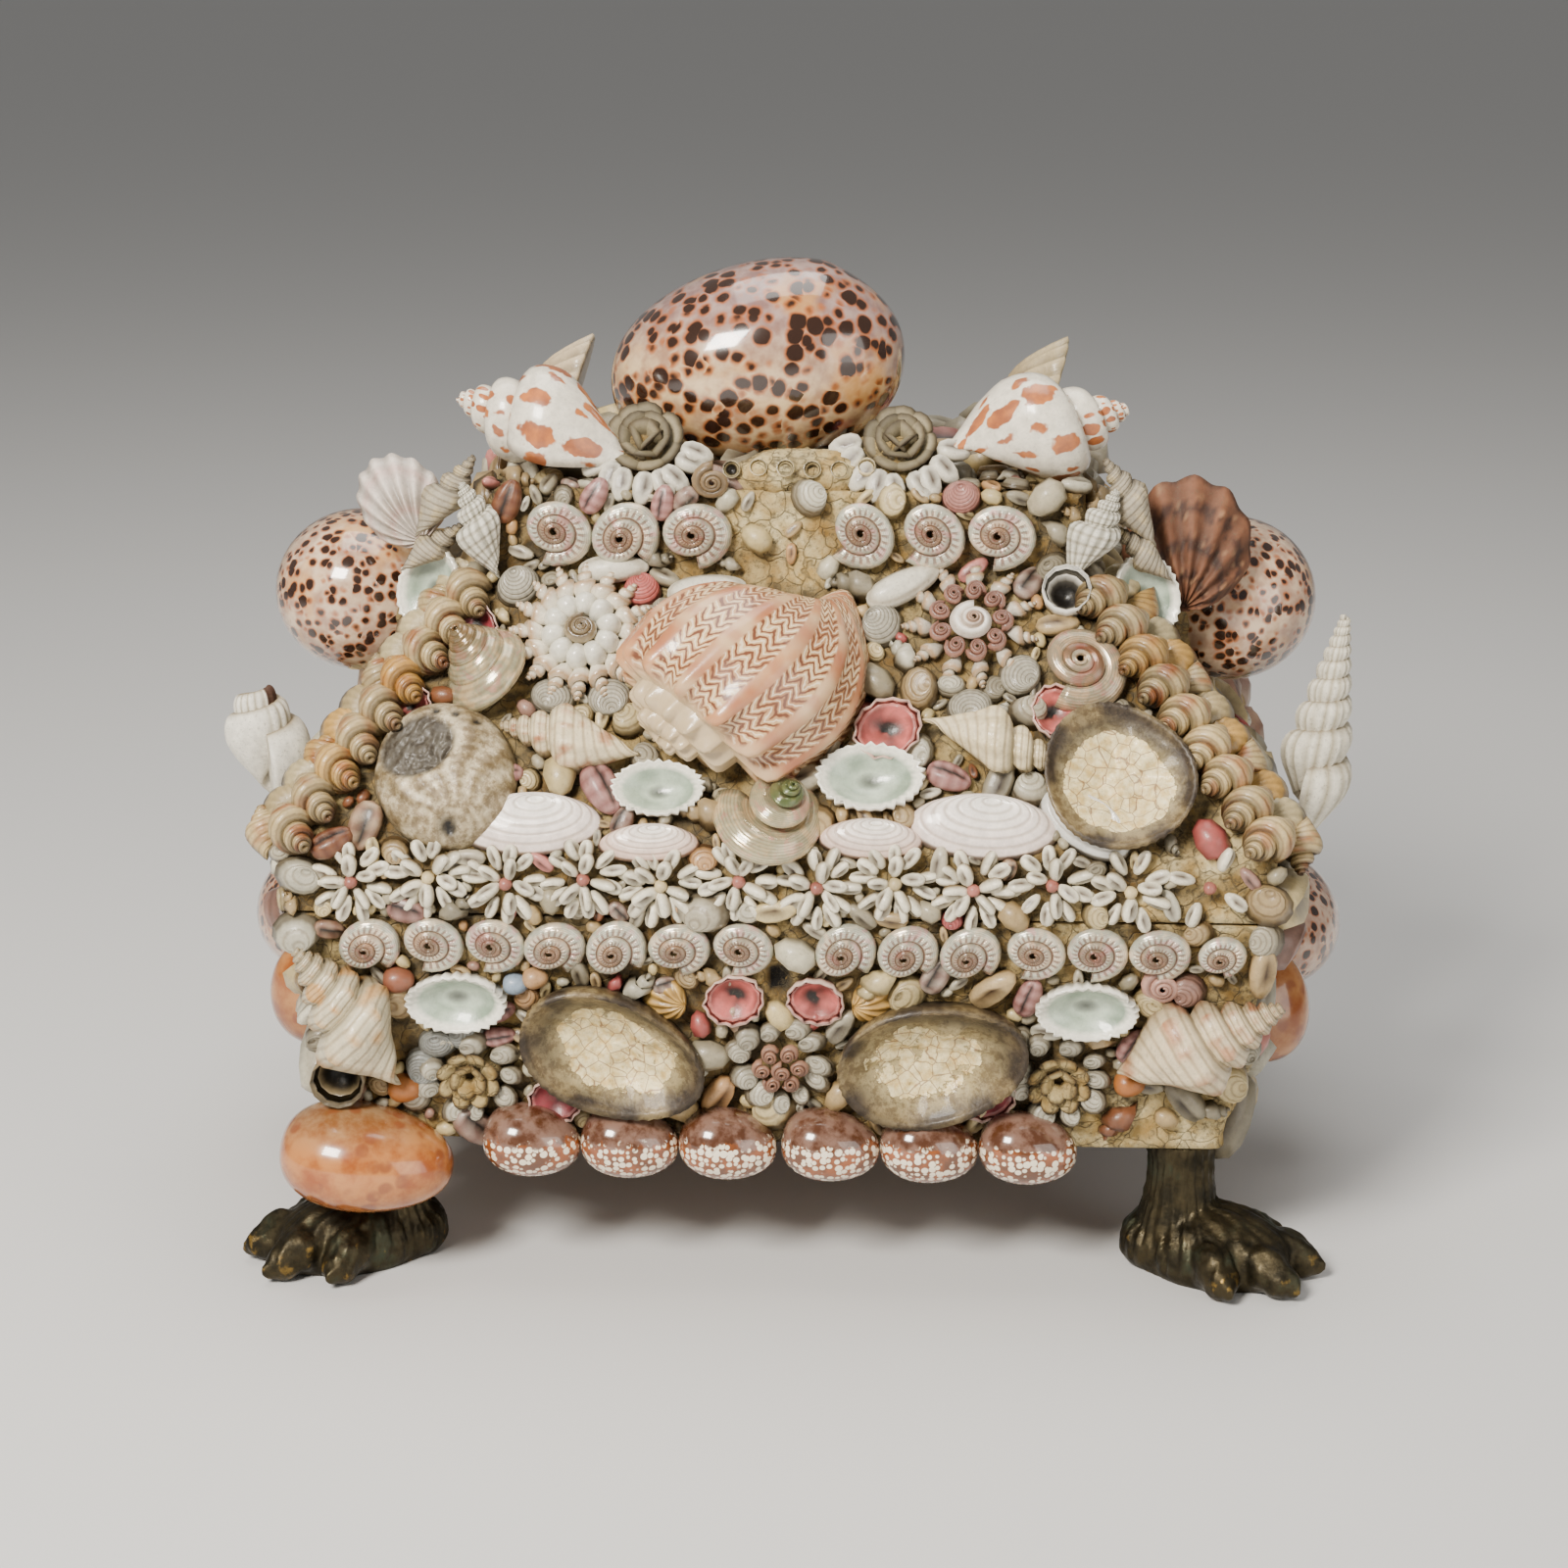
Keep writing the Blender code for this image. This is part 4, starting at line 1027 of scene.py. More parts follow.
def with_keyhole(form):
    """Presses a keyhole into the front of the box's coat, with a raised rim, and paints the hole near black
    for the shade inside it.
    """
    local = (form.points - KEYHOLE[:3, 3]) @ KEYHOLE[:3, :3]
    away = np.hypot(local[..., 0] / 0.0050, local[..., 1] / 0.0068)
    front = local[..., 2] > -0.012
    hole = (1 - smooth(away, 0.55, 1.0)) * front
    rim = bump(away, 1.35, 0.25) * front
    form.points = form.points + (KEYHOLE[:3, 2] * (0.0010 * rim - 0.6 * PUTTY * hole)[..., None])
    # Painted shade: the hole is darkened to near black.
    form.tint = between(form.tint, BLACK * 0.3, smooth(hole, 0.02, 0.30))
    return form


def cowrie_bed(side):
    """The lump of putty under an upper cowrie: an oval plug from the shell's seat down into the lid."""
    depth = np.array((0, 0, 0.002, 0.010, 0.020, 0.030, 0.040))[:, None]
    share = np.array((0.05, 0.42, 0.52, 0.57, 0.60, 0.62, 0.62))[:, None]
    around = round_angles(48)
    x = 0.070 * share * np.cos(around)
    y = 0.048 * share * np.sin(around)
    plug = Form(np.stack([x, y, -depth + 0 * around], -1)).at(upper_cowrie_frame(side))
    return putty_form(plug.points, np.full((7, 1), 0.0012), 31)


# Large shells


def make_spotted_cowries():
    """The great cowrie on top, its back to the front, and the cowries on the ends and the back."""
    tilt = turned(-8) @ shifted(z=0.036) @ turned(52, "X") @ shifted(z=-0.020)
    form = cowrie(0.106, 0.072, 0.058, 60, 64).at(on_platform(-0.12, -0.16) @ tilt)
    height = form.points[..., 2] - PLATFORM
    along = np.clip((form.points[..., 0] + 0.012) / 0.053, -1.0, 0.45)
    form.points[..., 2] = PLATFORM + height * (1 + 0.20 * along)
    rise = height + 0.25 * form.points[..., 0]
    tint = between(linear(222, 192, 146), linear(168, 142, 134), smooth(rise, 0.022, 0.060))
    # Painted shade: the cowrie darkens to brown towards where it sits in the putty.
    form = form.coloured(between(linear(120, 100, 80), tint, smooth(height, 0.0, 0.014)))
    build("great_cowrie", [form], "spotted cowrie", ["top_cowrie"])
    for side, sx in (("left", -1), ("right", 1)):
        low = facing(side, "wall", 0.12 * sx, 0.52) @ turned(0 if sx < 0 else 180)
        back = facing("back", "wall", -0.36 * sx, 0.48) @ turned(6)
        for row, size, place, tint in (
            ("upper", (0.082, 0.058, 0.046), upper_cowrie_frame(side), linear(216, 190, 160)),
            ("lower", (0.074, 0.052, 0.046), low, linear(206, 176, 152)),
            ("back", (0.064, 0.044, 0.030), back, linear(216, 190, 160)),
        ):
            form = cowrie(*size, 44, 44).coloured(tint)
            put(f"{row}_cowrie_{side}", form, place, "finely spotted cowrie", "spotted_cowrie", size[:2])
    for side, sx in (("left", -1), ("right", 1)):
        form = cowrie(0.042, 0.028, 0.028, 30, 30).coloured(linear(176, 120, 66))
        place = facing(side, "wall", -0.50 * sx, 0.42) @ turned(78)
        name = f"small_cowrie_shell_{side}"
        put(f"small_cowrie_{side}", form, place, "mottled cowrie", "orange_cowrie", (0.042, 0.028), name)


def make_bottom_cowries():
    """Six netted cowries along the lower front edge, and the large orange one on the left corner."""
    for i, across in enumerate((-0.555, -0.335, -0.115, 0.115, 0.335, 0.555)):
        place = facing("front", "wall", across, 0.035) @ turned(-10)
        form = cowrie(0.0345, 0.0255, 0.0195, 26, 30).at(place)
        form.zone = smooth(FOOT_HEIGHT + 0.013 - form.points[..., 2], 0.0, 0.016)
        build(f"netted_cowrie_{i + 1}", [form], "netted cowrie", [f"bottom_cowrie_{i + 1}"])
        claim(place, 0.034, 0.024)
    place = facing("front", "wall", -0.93, -0.025) @ turned(-8)
    form = cowrie(0.061, 0.037, 0.033, 40, 44).at(place)
    pale = smooth(form.points[..., 2], FOOT_HEIGHT + 0.002, FOOT_HEIGHT + 0.016)
    form = form.coloured(between(linear(186, 122, 66), linear(160, 128, 92), pale))
    build("corner_cowrie_shell", [form], "mottled cowrie", ["corner_cowrie"])
    claim(place, 0.061, 0.037)


def make_harp_shell():
    """The harp: a swollen body whorl with flat ribs, whose points stand round a low spire."""
    form = coil(HARP, 3.2, 1.75, 320, 52)
    beat = abs(form.turn * HARP_RIBS % 1 - 0.5) * 2
    rib = 1 - smooth(beat, 0.26, 0.46)
    shoulder = bump(form.side, 0.20, 0.075)
    swell(form, (0.040 + 0.11 * shoulder) * rib + 0.03 * (1 - beat) * shoulder, 0.050 * rib * shoulder)
    spire = smooth(-form.turn, 0.90, 1.0)
    form.zone = (1 - spire) * smooth(form.side, 0.10, 0.20)
    body = between(linear(208, 172, 132), linear(184, 136, 100), smooth(wave(form.side * 3), -0.5, 0.8))
    form.tint = between(body, linear(196, 174, 138), np.maximum(spire, 1 - smooth(form.side, 0.08, 0.16)))
    lying(form, 0.087, 0.078, 0.052, 215, -0.10)
    place = facing("front", "slope", -0.070, 0.610) @ turned(47)
    put("harp", form, place, "harp shell", "harp_shell", (0.080, 0.070))


def make_babylonias():
    """The two large whelks, apexes outwards and a little raised."""
    for side, sx in (("left", -1), ("right", 1)):
        form = coil(WHELK, 5.0, 1.70, 180, 34)
        form.tint = between(linear(232, 224, 206), linear(140, 122, 98), bump(form.side, 0.0, 0.05))
        fit(form, 0.070, 0.041, 0.040)
        place = on_platform(sx * 0.82, -0.74) @ turned(180 if sx > 0 else 0) @ turned(sx * 14)
        place = place @ shifted(z=0.0195) @ turned(15, "Y") @ turned(200 if sx < 0 else 160, "X")
        name = f"patched_whelk_{side}"
        put(f"babylonia_{side}", form, place, "patched whelk", "patched_whelk", (0.066, 0.036), name)


def knobbed(outline, size, turns, growth, knobs, height, tint, flecks, seed, rows_per_turn=36, cols=28):
    """A snail with fine spiral grooves and knobs on its whorls' shoulders, whose tips are flecked."""
    form = coil(outline, turns, growth, int(turns * rows_per_turn), cols)
    beat = wave(form.turn * knobs)
    shoulder = bump(form.side, 0.30, 0.13)
    lump = smooth(beat, -0.2, 1.0) * shoulder + 0.25 * beat * bump(form.side, 0.62, 0.15)
    swell(form, height * lump)
    with_cords(form, 9)
    spread = waves(form.points, 0.18, seed)
    tips = smooth(beat, 0.3, 1.0) * smooth(shoulder, 0.4, 0.9) * 0.55
    dark = between(tint, tint * 0.5, bump(form.side, 0.02, 0.08))
    form.tint = between(dark, flecks, np.clip(tips + smooth(spread, 0.7, 1.2) * 0.65, 0, 0.85))
    return shaded_at_foot(lying(form, *size))


def make_front_snails():
    """The conchs on the slope and the tritons on the wall: how each is wound, its knobs and colours."""
    slender = (5.5, 1.5)
    stout = (6.5, 1.42)
    snails = (
        ("conch_left", CONCH, (0.050, 0.023), slender, 10, 0.16, linear(226, 210, 172), RUST),
        ("conch_right", CONCH, (0.051, 0.024), slender, 8, 0.24, linear(222, 206, 166), SAND),
        ("triton_left", TRITON, (0.061, 0.036), stout, 9, 0.15, linear(216, 204, 172), AMBER),
        ("triton_right", TRITON, (0.061, 0.036), stout, 9, 0.15, linear(224, 206, 170), RUST),
    )
    places = (
        facing("front", "slope", -0.495, 0.365) @ turned(-10),
        facing("front", "slope", 0.500, 0.375) @ turned(166),
        facing("front", "wall", -0.900, 0.600) @ turned(-52),
        facing("front", "wall", 0.885, 0.540) @ turned(207),
    )
    for seed, ((node, outline, size, winding, *look), place) in enumerate(zip(snails, places), 40):
        form = knobbed(outline, size, *winding, *look, seed)
        put(node, form, place, "satin shell", "cream_shell", (size[0], size[1] * 0.8))


def pearl(width, height=0.0095, rows_per_turn=24, cols=14):
    """A polished top shell from its apex, darker to the middle; the last rows, its mouth, are painted dark
    for the shade inside it.
    """
    form = coil(PEARL, 3.5, 1.78, int(3.5 * rows_per_turn), cols)
    form.zone = form.side
    form.tint = between(linear(246, 238, 226), linear(176, 146, 124), smooth(-form.turn, 0.8, 2.0))
    # Painted shade: the mouth rows are darkened.
    form.tint[-3:] *= 0.3
    return standing(form, width, height)


def make_pearls():
    """Rows of polished top shells under the box's rim and round the crown's front."""
    width = 2 * RIM_HALF[0]
    pitch = width * 0.0625
    rng = np.random.default_rng(5)
    for name, start in (("left", -width * 0.411), ("right", width * 0.070)):
        forms = []
        for i in range(7):
            place = facing("front", "wall", 0, 0) @ shifted(start + i * pitch, BOX_HEIGHT * 0.885, 0.0)
            size = pitch * (1.0 if i < 6 or name == "left" else 0.78)
            place = place @ turned(rng.uniform(-5, 5), "X") @ turned(200 + rng.uniform(-40, 40))
            forms.append(pearl(size).tinted(rng.uniform(0.90, 1.04)).at(place))
            claim(place, size, size)
        build(f"lower_pearl_row_{name}", forms, "crimped pearl", [f"lower_pearls_{name}"])
    pitch = CROWN_HALF[0] * 0.235
    for name, start in (("left", -CROWN_HALF[0] * 0.76), ("right", CROWN_HALF[0] * 0.25)):
        forms = []
        for i in range(3):
            place = facing("front", "crown", 0, 0) @ shifted(start + i * pitch, CROWN_HEIGHT * 0.44, 0.0)
            place = place @ turned(190 + rng.uniform(-60, 60))
            forms.append(pearl(pitch * 0.98, 0.011).tinted(rng.uniform(0.92, 1.05)).at(place))
            claim(place, pitch, pitch)
        build(f"upper_pearl_row_{name}", forms, "crimped pearl", [f"upper_pearls_{name}"])


def make_turbans():
    """Three pearly turbans: a cone leaning up to the left, one seen from its apex, and one on its side."""
    cone = coil(TOP_SHELL, 6.0, 1.42, 160, 24)
    cone.zone = cone.side * 0.45
    cone.tint = between(linear(206, 190, 160), linear(150, 124, 92), smooth(-cone.turn, 1.0, 3.4))
    flat = coil(PEARL, 3.4, 1.9, 130, 24)
    flat.zone = flat.side
    flat.tint = between(linear(202, 182, 158), linear(146, 100, 74), bump(flat.turn, -1.5, 0.5))
    body = coil(TOP_SHELL, 5.0, 1.80, 160, 24)
    body.zone = body.side
    body.tint = between(linear(222, 204, 172), linear(118, 130, 84), smooth(-body.turn, 1.5, 2.2))
    left = facing("front", "slope", -0.780, 0.600) @ turned(-32, "Y") @ turned(-26, "X") @ turned(120)
    right = facing("front", "slope", 0.800, 0.626) @ turned(150)
    centre = facing("front", "slope", -0.035, 0.090, 0.001) @ turned(22, "Y") @ turned(-20, "X") @ turned(60)
    for name, form, place in (
        ("left", standing(cone, 0.034, 0.028), left),
        ("right", standing(flat, 0.030, 0.012), right),
        ("centre", standing(body, 0.038, 0.027), centre),
    ):
        room = (0.031, 0.030)
        put(f"turban_{name}", form, place, "smooth pearl", "pearl", room, f"turban_shell_{name}")


def make_limpets():
    """Limpets with their hollow side out: sea green inside, a jagged white rim, a small dark middle."""
    limpets = (
        ("limpet_lid_left", (0.031, 0.019, 0.008), "slope", (-0.262, 0.195)),
        ("limpet_lid_right", (0.036, 0.023, 0.009), "slope", (0.200, 0.240)),
        ("limpet_box_left", (0.034, 0.021, 0.009), "wall", (-0.672, 0.650)),
        ("limpet_box_right", (0.034, 0.020, 0.009), "wall", (0.640, 0.650)),
    )
    for name, size, stage, spot in limpets:
        put(name, limpet(*size), facing("front", stage, *spot), "glossy shell", "green_limpet", size[:2])


def limpet(length, width, height, jag=0.07):
    form = dish(length, width, height, 56, jag, 0.06, 0.16)
    rim = smooth(form.zone, 0.76, 0.88)
    middle = 1 - smooth(form.zone, 0.08, 0.30)
    cloud = smooth(waves(form.points, 0.010, 3), -0.8, 0.9)
    inside = between(linear(186, 200, 180), linear(134, 152, 132), cloud * smooth(form.zone, 0.2, 0.6))
    form.tint = between(between(inside, linear(250, 246, 230), rim), linear(66, 70, 62), middle * 0.9)
    return plain(form)


def abalone_back():
    """An abalone back out: ribs run out from its hole across growth rings, and a rough patch lies above."""
    angle = round_angles(90)
    share = np.concatenate([np.linspace(0.03, 1, 26), (0.96,)])[:, None]
    dome = np.sqrt(np.clip(1 - share**2.4, 0, 1))
    right, up = 0.0245 * share * np.cos(angle), 0.0265 * share * np.sin(angle)
    away = np.hypot(right + 0.002, up + 0.0215)
    ribs = np.cos(np.arctan2(up + 0.0215, right + 0.002) * 17 + 1.2 * np.sin(away * 260))
    ribs = ribs * smooth(away, 0.006, 0.014)
    rings = np.cos(away * 2 * math.pi / 0.0034) * 0.35
    height = 0.0155 * dome * (1 + 0.05 * ribs * share + 0.04 * rings * share)
    height[-1] = -0.002
    form = Form(np.stack([right, up, height], -1), WHITE, None, -3.0 + 0 * right)
    hole = bump(np.hypot(right + 0.004, up + 0.0205), 0, 0.0026)
    rough = smooth(0.015 - np.hypot(right + 0.006, (up - 0.010) * 1.2), 0, 0.003)
    pores = ((0.010, 0.017), (0.016, 0.012), (0.004, 0.0205))
    small = sum(bump(np.hypot(right - x, up - y), 0, 0.0013) for x, y in pores)
    form.points[..., 2] -= 0.004 * hole + 0.0022 * rough + 0.002 * small
    form.points[..., 2] += rough * waves(form.points, 0.003, 9) * 0.0008
    tint = between(linear(206, 192, 160), linear(136, 118, 84), smooth(ribs * 0.6 + rings, -0.8, 0.8))
    tint = between(tint, linear(84, 78, 68), rough)
    # Painted shade: the hole and the pores are darkened to black.
    form.tint = between(tint, BLACK, np.clip(hole * 1.6 + small * 1.5, 0, 1))
    return form


def abalone_bowl(size, heap, flaked, shade_at):
    """An abalone's hollow side: its lining heaped and flaked by so much, with painted shade on its wall
    towards shade_at and a painted shadow line inside the rim.
    """
    form = dish(*size, 96, 0.012, 0.07, 0.06)
    around = round_angles(96)
    form.points[..., :2] *= (1 + 0.05 * np.cos(2 * around + 1.0) + 0.03 * np.cos(3 * around))[..., None]
    rim = smooth(form.zone, 0.84, 0.88)
    lump = waves(form.points, 0.012, 12) * 0.0014 + waves(form.points, 0.005, 13) * 0.0006
    form.points[..., 2] += (lump + heap * size[2]) * (1 - smooth(form.zone, 0.62, 0.85))
    edge = smooth(waves(form.points, 0.018, 15), -0.6, 0.8)
    rim_colour = between(linear(58, 46, 32), linear(134, 116, 80), edge)
    # Painted shade: the inner wall is darkened on the side towards shade_at.
    dark = smooth(form.zone, 0.45, 0.78) * smooth(np.cos(around - math.radians(shade_at)), -0.4, 0.6)
    # Painted shadow: a dark line just inside the rim.
    groove = bump(form.zone, 0.80, 0.05)
    tint = between(linear(178, 160, 114), linear(52, 42, 28), np.maximum(dark * 0.8, groove * 0.9))
    form.tint = between(tint, rim_colour, rim)
    # The painted shade and shadow also hold the lining back from flaking to gold.
    lining = flaked - 0.35 - 1.6 * dark - 3.0 * groove
    form.zone = lining + (-3.0 - lining) * rim
    return form


def make_abalones():
    """One abalone back out, and three hollow side out whose lining has flaked to cream and gold."""
    place = facing("front", "slope", -0.745, 0.245) @ turned(20)
    finish = ("abalone shell", "abalone")
    put("abalone_top_left", abalone_back(), place, *finish, (0.049, 0.049), "abalone_shell_top_left")
    bowls = (
        ("top_right", (0.050, 0.052, 0.012), "slope", (0.745, 0.245), 0, 0.20, 2.10, 90),
        ("box_left", (0.064, 0.045, 0.015), "wall", (-0.357, 0.455), -18, 0.02, 1.40, 130),
        ("box_right", (0.064, 0.046, 0.015), "wall", (0.325, 0.430), 18, 0.0, 0.95, 60),
    )
    for name, size, stage, spot, turn, heap, flaked, shade_at in bowls:
        place = facing("front", stage, *spot) @ turned(turn)
        form = abalone_bowl(size, heap, flaked, shade_at - turn)
        put(f"abalone_{name}", form, place, *finish, size[:2], f"abalone_shell_{name}")


def make_tellins():
    """Pale pink valves along the foot of the slope."""
    tellins = (
        ((540, 842), 0.051, 0.022, 2, BLUSH),
        ((1003, 845), 0.052, 0.023, -3, BLUSH),
        ((662, 862), 0.035, 0.013, 2, linear(228, 190, 170)),
        ((888, 858), 0.036, 0.014, -2, linear(222, 188, 172)),
        ((1107, 842), 0.036, 0.019, -35, linear(206, 206, 200)),
    )
    forms = []
    for pixel, length, width, turn, tint in tellins:
        form = valve(length, width, 0.0055, 18, 40, 0.06)
        share = np.linspace(0, 1, 19)[:, None] + 0 * form.zone
        form.tint = between(linear(255, 250, 240), tint, share)
        form.zone = share * 7
        place = front_at(pixel) @ turned(turn)
        forms.append(shaded_at_foot(form, 0.3).at(place))
        claim(place, length, width)
    build("tellins", forms, "glossy shell")


def make_hip_rows():
    """Plump conchs up each hip of the lid, apexes inwards."""
    slant = math.dist((*RIM_HALF, BAND_TOP), (*CROWN_HALF, SLOPE_TOP))
    rng = np.random.default_rng(8)
    for face, sy, count in (("front", -1, 9), ("back", 1, 6)):
        pitch = slant * 0.95 / count
        for end, sx in (("left", -1), ("right", 1)):
            forms = []
            for i in range(count):
                place = hip_frame(sx, sy, (i + 0.55) * pitch / slant) @ turned(180 if sx * sy > 0 else 0)
                place = place @ shifted(-0.0020, 0, -0.0015) @ turned(rng.uniform(-10, 10) - 14 * sx * sy)
                forms.append(hip_conch(0.0265, pitch * 1.30, rng).at(place))
                claim(place, 0.025, pitch * 1.2)
            build(f"hip_conchs_{face}_{end}", forms, "satin shell", [f"hip_shells_{face}_{end}"])


def hip_conch(length, width, rng):
    """A small plump conch, cream to yellow, with brown flecks along its grooves."""
    form = with_cords(coil(PLUMP, 4.0, 1.62, 64, 16), 6)
    streaks = waves(form.points * (2.0, 0.7, 0.7) + rng.uniform(0, 9, 3), 0.28, 17)
    flecks = smooth(streaks, 0.15, 0.8) * rng.uniform(0.5, 0.95)
    base = (linear(216, 190, 138), linear(206, 166, 98), linear(192, 170, 126), linear(204, 154, 76))
    tint = between(base[rng.choice(4, p=(0.45, 0.2, 0.25, 0.1))], linear(168, 92, 40), flecks)
    form.tint = between(tint, tint * 0.45, bump(form.side, 0.0, 0.08)) * rng.uniform(0.55, 0.85)
    return shaded_at_foot(lying(form, length, width))


def hip_frame(sx, sy, share):
    """A spot on a hip of the lid: X across the hip, Y up it, Z out of it."""
    low = np.array((sx * RIM_HALF[0], sy * RIM_HALF[1], BAND_TOP))
    high = np.array((sx * CROWN_HALF[0], sy * CROWN_HALF[1], SLOPE_TOP))
    up = unit(high - low)
    end = "left" if sx < 0 else "right"
    face = "front" if sy < 0 else "back"
    out = facing(end, "slope", 0, 0)[:3, 2] + facing(face, "slope", 0, 0)[:3, 2]
    across = unit(np.cross(up, out))
    return frame_of(across, up, np.cross(across, up), low + (high - low) * share)


def make_ribbed_whelks():
    """White ribbed whelks at the crown's front corners, apex up."""
    for side, sx in (("left", -1), ("right", 1)):
        form = coil(CONCH, 5.0, 1.55, 260, 28)
        ridge = wave(form.turn * 14)
        swell(form, 0.07 * ridge)
        # Painted shade: the troughs between the ribs are greyer than the crests.
        form.tint = between(linear(150, 146, 130), linear(222, 218, 202), smooth(ridge, -0.8, 0.2))
        place = facing("front", "crown", sx * 1.02, 0.50) @ turned(-90 + sx * -24)
        form = lying(with_cords(form, 6), 0.036, 0.0175)
        name = f"ribbed_whelk_shell_{side}"
        put(f"ribbed_whelk_{side}", form, place, "chalky shell", "white_shell", (0.034, 0.017), name)


def make_back_cockles():
    """Ribbed valves that stand at the platform's back corners."""
    for side, sx, tint in (("left", -1, linear(206, 186, 152)), ("right", 1, linear(190, 172, 134))):
        place = on_platform(sx * 0.86, 0.66) @ shifted(z=0.002) @ turned(-72, "Y")
        form = fan(0.037, 0.043, 0.013, 15).tinted(tint)
        nodes = [f"back_cockle_{side}"]
        build(f"back_cockle_shell_{side}", [form.at(place)], "satin shell", nodes)


def horn_frame(side, lean):
    sx = -1 if side == "left" else 1
    return shifted(sx * (RIM_HALF[0] + 0.0152), -0.050, SEAM + 0.012) @ turned(sx * lean, "Y")


def make_horns():
    """The tall ribbed spire at the right end, and the broken whelk at the left."""
    form = coil(SPIRE, 9.0, 1.27, 360, 22)
    ridge = wave(form.turn * 15)
    swell(form, 0.07 * ridge * (1 - smooth(form.turn, -0.9, -0.5)))
    # Painted shade: the troughs between the ribs are greyer than the crests.
    tint = between(linear(176, 166, 142), linear(232, 226, 208), smooth(ridge, -0.9, 0.0))
    form.tint = between(tint, linear(120, 104, 78), bump(form.side, 0.0, 0.10) * 0.8)
    fit(form, 0.084, 0.027, 0.027)
    place = horn_frame("right", 9) @ shifted(z=0.038) @ turned(90, "Y") @ turned(200, "X")
    put("horn_right", form, place, "chalky shell", "white_shell", (0.080, 0.024), "horn_shell_right")
    form = coil(WHELK, 2.2, 1.55, 150, 36)
    ridge = wave(form.turn * 16) * smooth(-form.turn, 0.9, 1.1)
    swell(form, 0.035 * ridge)
    # Painted shade: the troughs between the ribs are greyer than the crests.
    tint = between(linear(168, 158, 134), linear(234, 230, 216), smooth(ridge, -1.0, -0.3))
    stain = np.maximum(bump(form.side, 0.0, 0.08), smooth(form.side, 0.7, 1.0) * 0.4)
    form.tint = between(tint, linear(140, 124, 94), stain)
    # Painted shade: the first rows, at the broken apex, are dark brown for the hollow inside.
    form.tint[:10] = UMBER * 2
    fit(form, 0.054, 0.030, 0.030)
    place = horn_frame("left", 6) @ shifted(z=0.022) @ turned(90, "Y") @ turned(160, "X")
    put("horn_left", form, place, "chalky shell", "white_shell", (0.050, 0.026), "horn_shell_left")


def scallop_frame(side):
    if side == "right":
        spot, lean = (CROWN_HALF[0] + 0.036, -0.040, SLOPE_TOP - 0.016), -4
    else:
        spot, lean = (-CROWN_HALF[0] - 0.027, -0.034, SLOPE_TOP + 0.004), 34
    return shifted(*spot) @ turned(90, "X") @ turned(90 + lean)


def make_scallops():
    """The rough brown scallop at the right of the crown, and the pale one at the left."""
    rough_one = fan(0.045, 0.043, 0.012, 10, 22)
    rough = waves(rough_one.points, 0.0035, 51)
    rough_one.points[..., 2] += 0.0005 * rough * smooth(rough_one.zone, 0.1, 0.3)
    bands = smooth(np.cos(rough_one.zone * 24 + rough), 0.1, 0.9)
    brown = between(linear(116, 74, 50), linear(72, 44, 32), bands)
    pale = smooth(rough, 0.9, 1.6) * 0.7
    rough_one.tint = rough_one.tint * between(brown, linear(170, 128, 92), pale) * 1.15
    pale_one = fan(0.033, 0.029, 0.010, 12, 14)
    blush = smooth(np.cos(pale_one.zone * 15), 0.4, 1.0) * 0.35
    pale_one.tint = pale_one.tint * between(linear(228, 216, 204), PINK, blush)
    for side, node, form, finish, slot, size in (
        ("right", "brown_scallop", rough_one, "chalky shell", "brown_scallop", 0.042),
        ("left", "white_scallop", pale_one, "satin shell", "white_shell", 0.030),
    ):
        build(f"{node}_shell", [form.at(scallop_frame(side))], finish, [node])
        claim(scallop_frame(side) @ shifted(size / 2), size, size)


# Shell flowers and the small shells between


def flower(place, radius, rng, petals, inner, size, tint, heart):
    """Slit cups round a bead: an outer ring, a few more inside it, each turned a little at random."""
    length, width = size
    middle = bead(width, width, width * 0.9).coloured(heart * rng.uniform(0.8, 1.1))
    forms = [middle.at(place)]
    rings = ((petals, radius - length * 0.45, 0.0), (inner, radius - length * 0.85, 0.0016))
    for count, reach, lift in rings:
        first = rng.uniform(0, 360)
        for i in range(count):
            turn = first + (i + rng.uniform(-0.2, 0.2)) * 360 / count
            spot = turned(turn) @ shifted(reach * rng.uniform(0.90, 1.06), 0, lift)
            spot = spot @ turned(-14 - 9000 * lift, "Y")
            form = petal(length * rng.uniform(0.85, 1.10), width * rng.uniform(0.85, 1.15))
            roll = turned(180) @ turned(rng.choice((-38, 38)) + rng.uniform(-15, 15), "X")
            forms.append(shaded_at_foot(form.tinted(tint * rng.uniform(0.80, 1.06)), 0.4).at(place @ spot @ roll))
    return forms


def make_frieze():
    """The row of shell flowers along the lid's band; the last ones on the right have lost petals."""
    rng = np.random.default_rng(3)
    pitch = 2 * RIM_HALF[0] * 0.078
    forms = []
    for i in range(12):
        up = BAND_HEIGHT * (0.50 + 0.08 * (i % 2))
        place = facing("front", "band", 0, 0) @ shifted((i - 5.5) * pitch, up, 0.0010)
        heart = (linear(160, 96, 84), linear(206, 186, 140), linear(170, 104, 92))[i % 3]
        petals = 11 if i < 9 else (9, 8, 4)[i - 9]
        inner = 5 if i < 9 else (4, 3, 0)[i - 9]
        size = (0.0095, 0.0046)
        forms += flower(place, pitch * 0.56, rng, petals, inner, size, linear(236, 228, 204), heart)
        claim(place, pitch * 0.8, pitch * 0.8)
    build("frieze_flowers", forms, "satin shell", ["flower_frieze"])


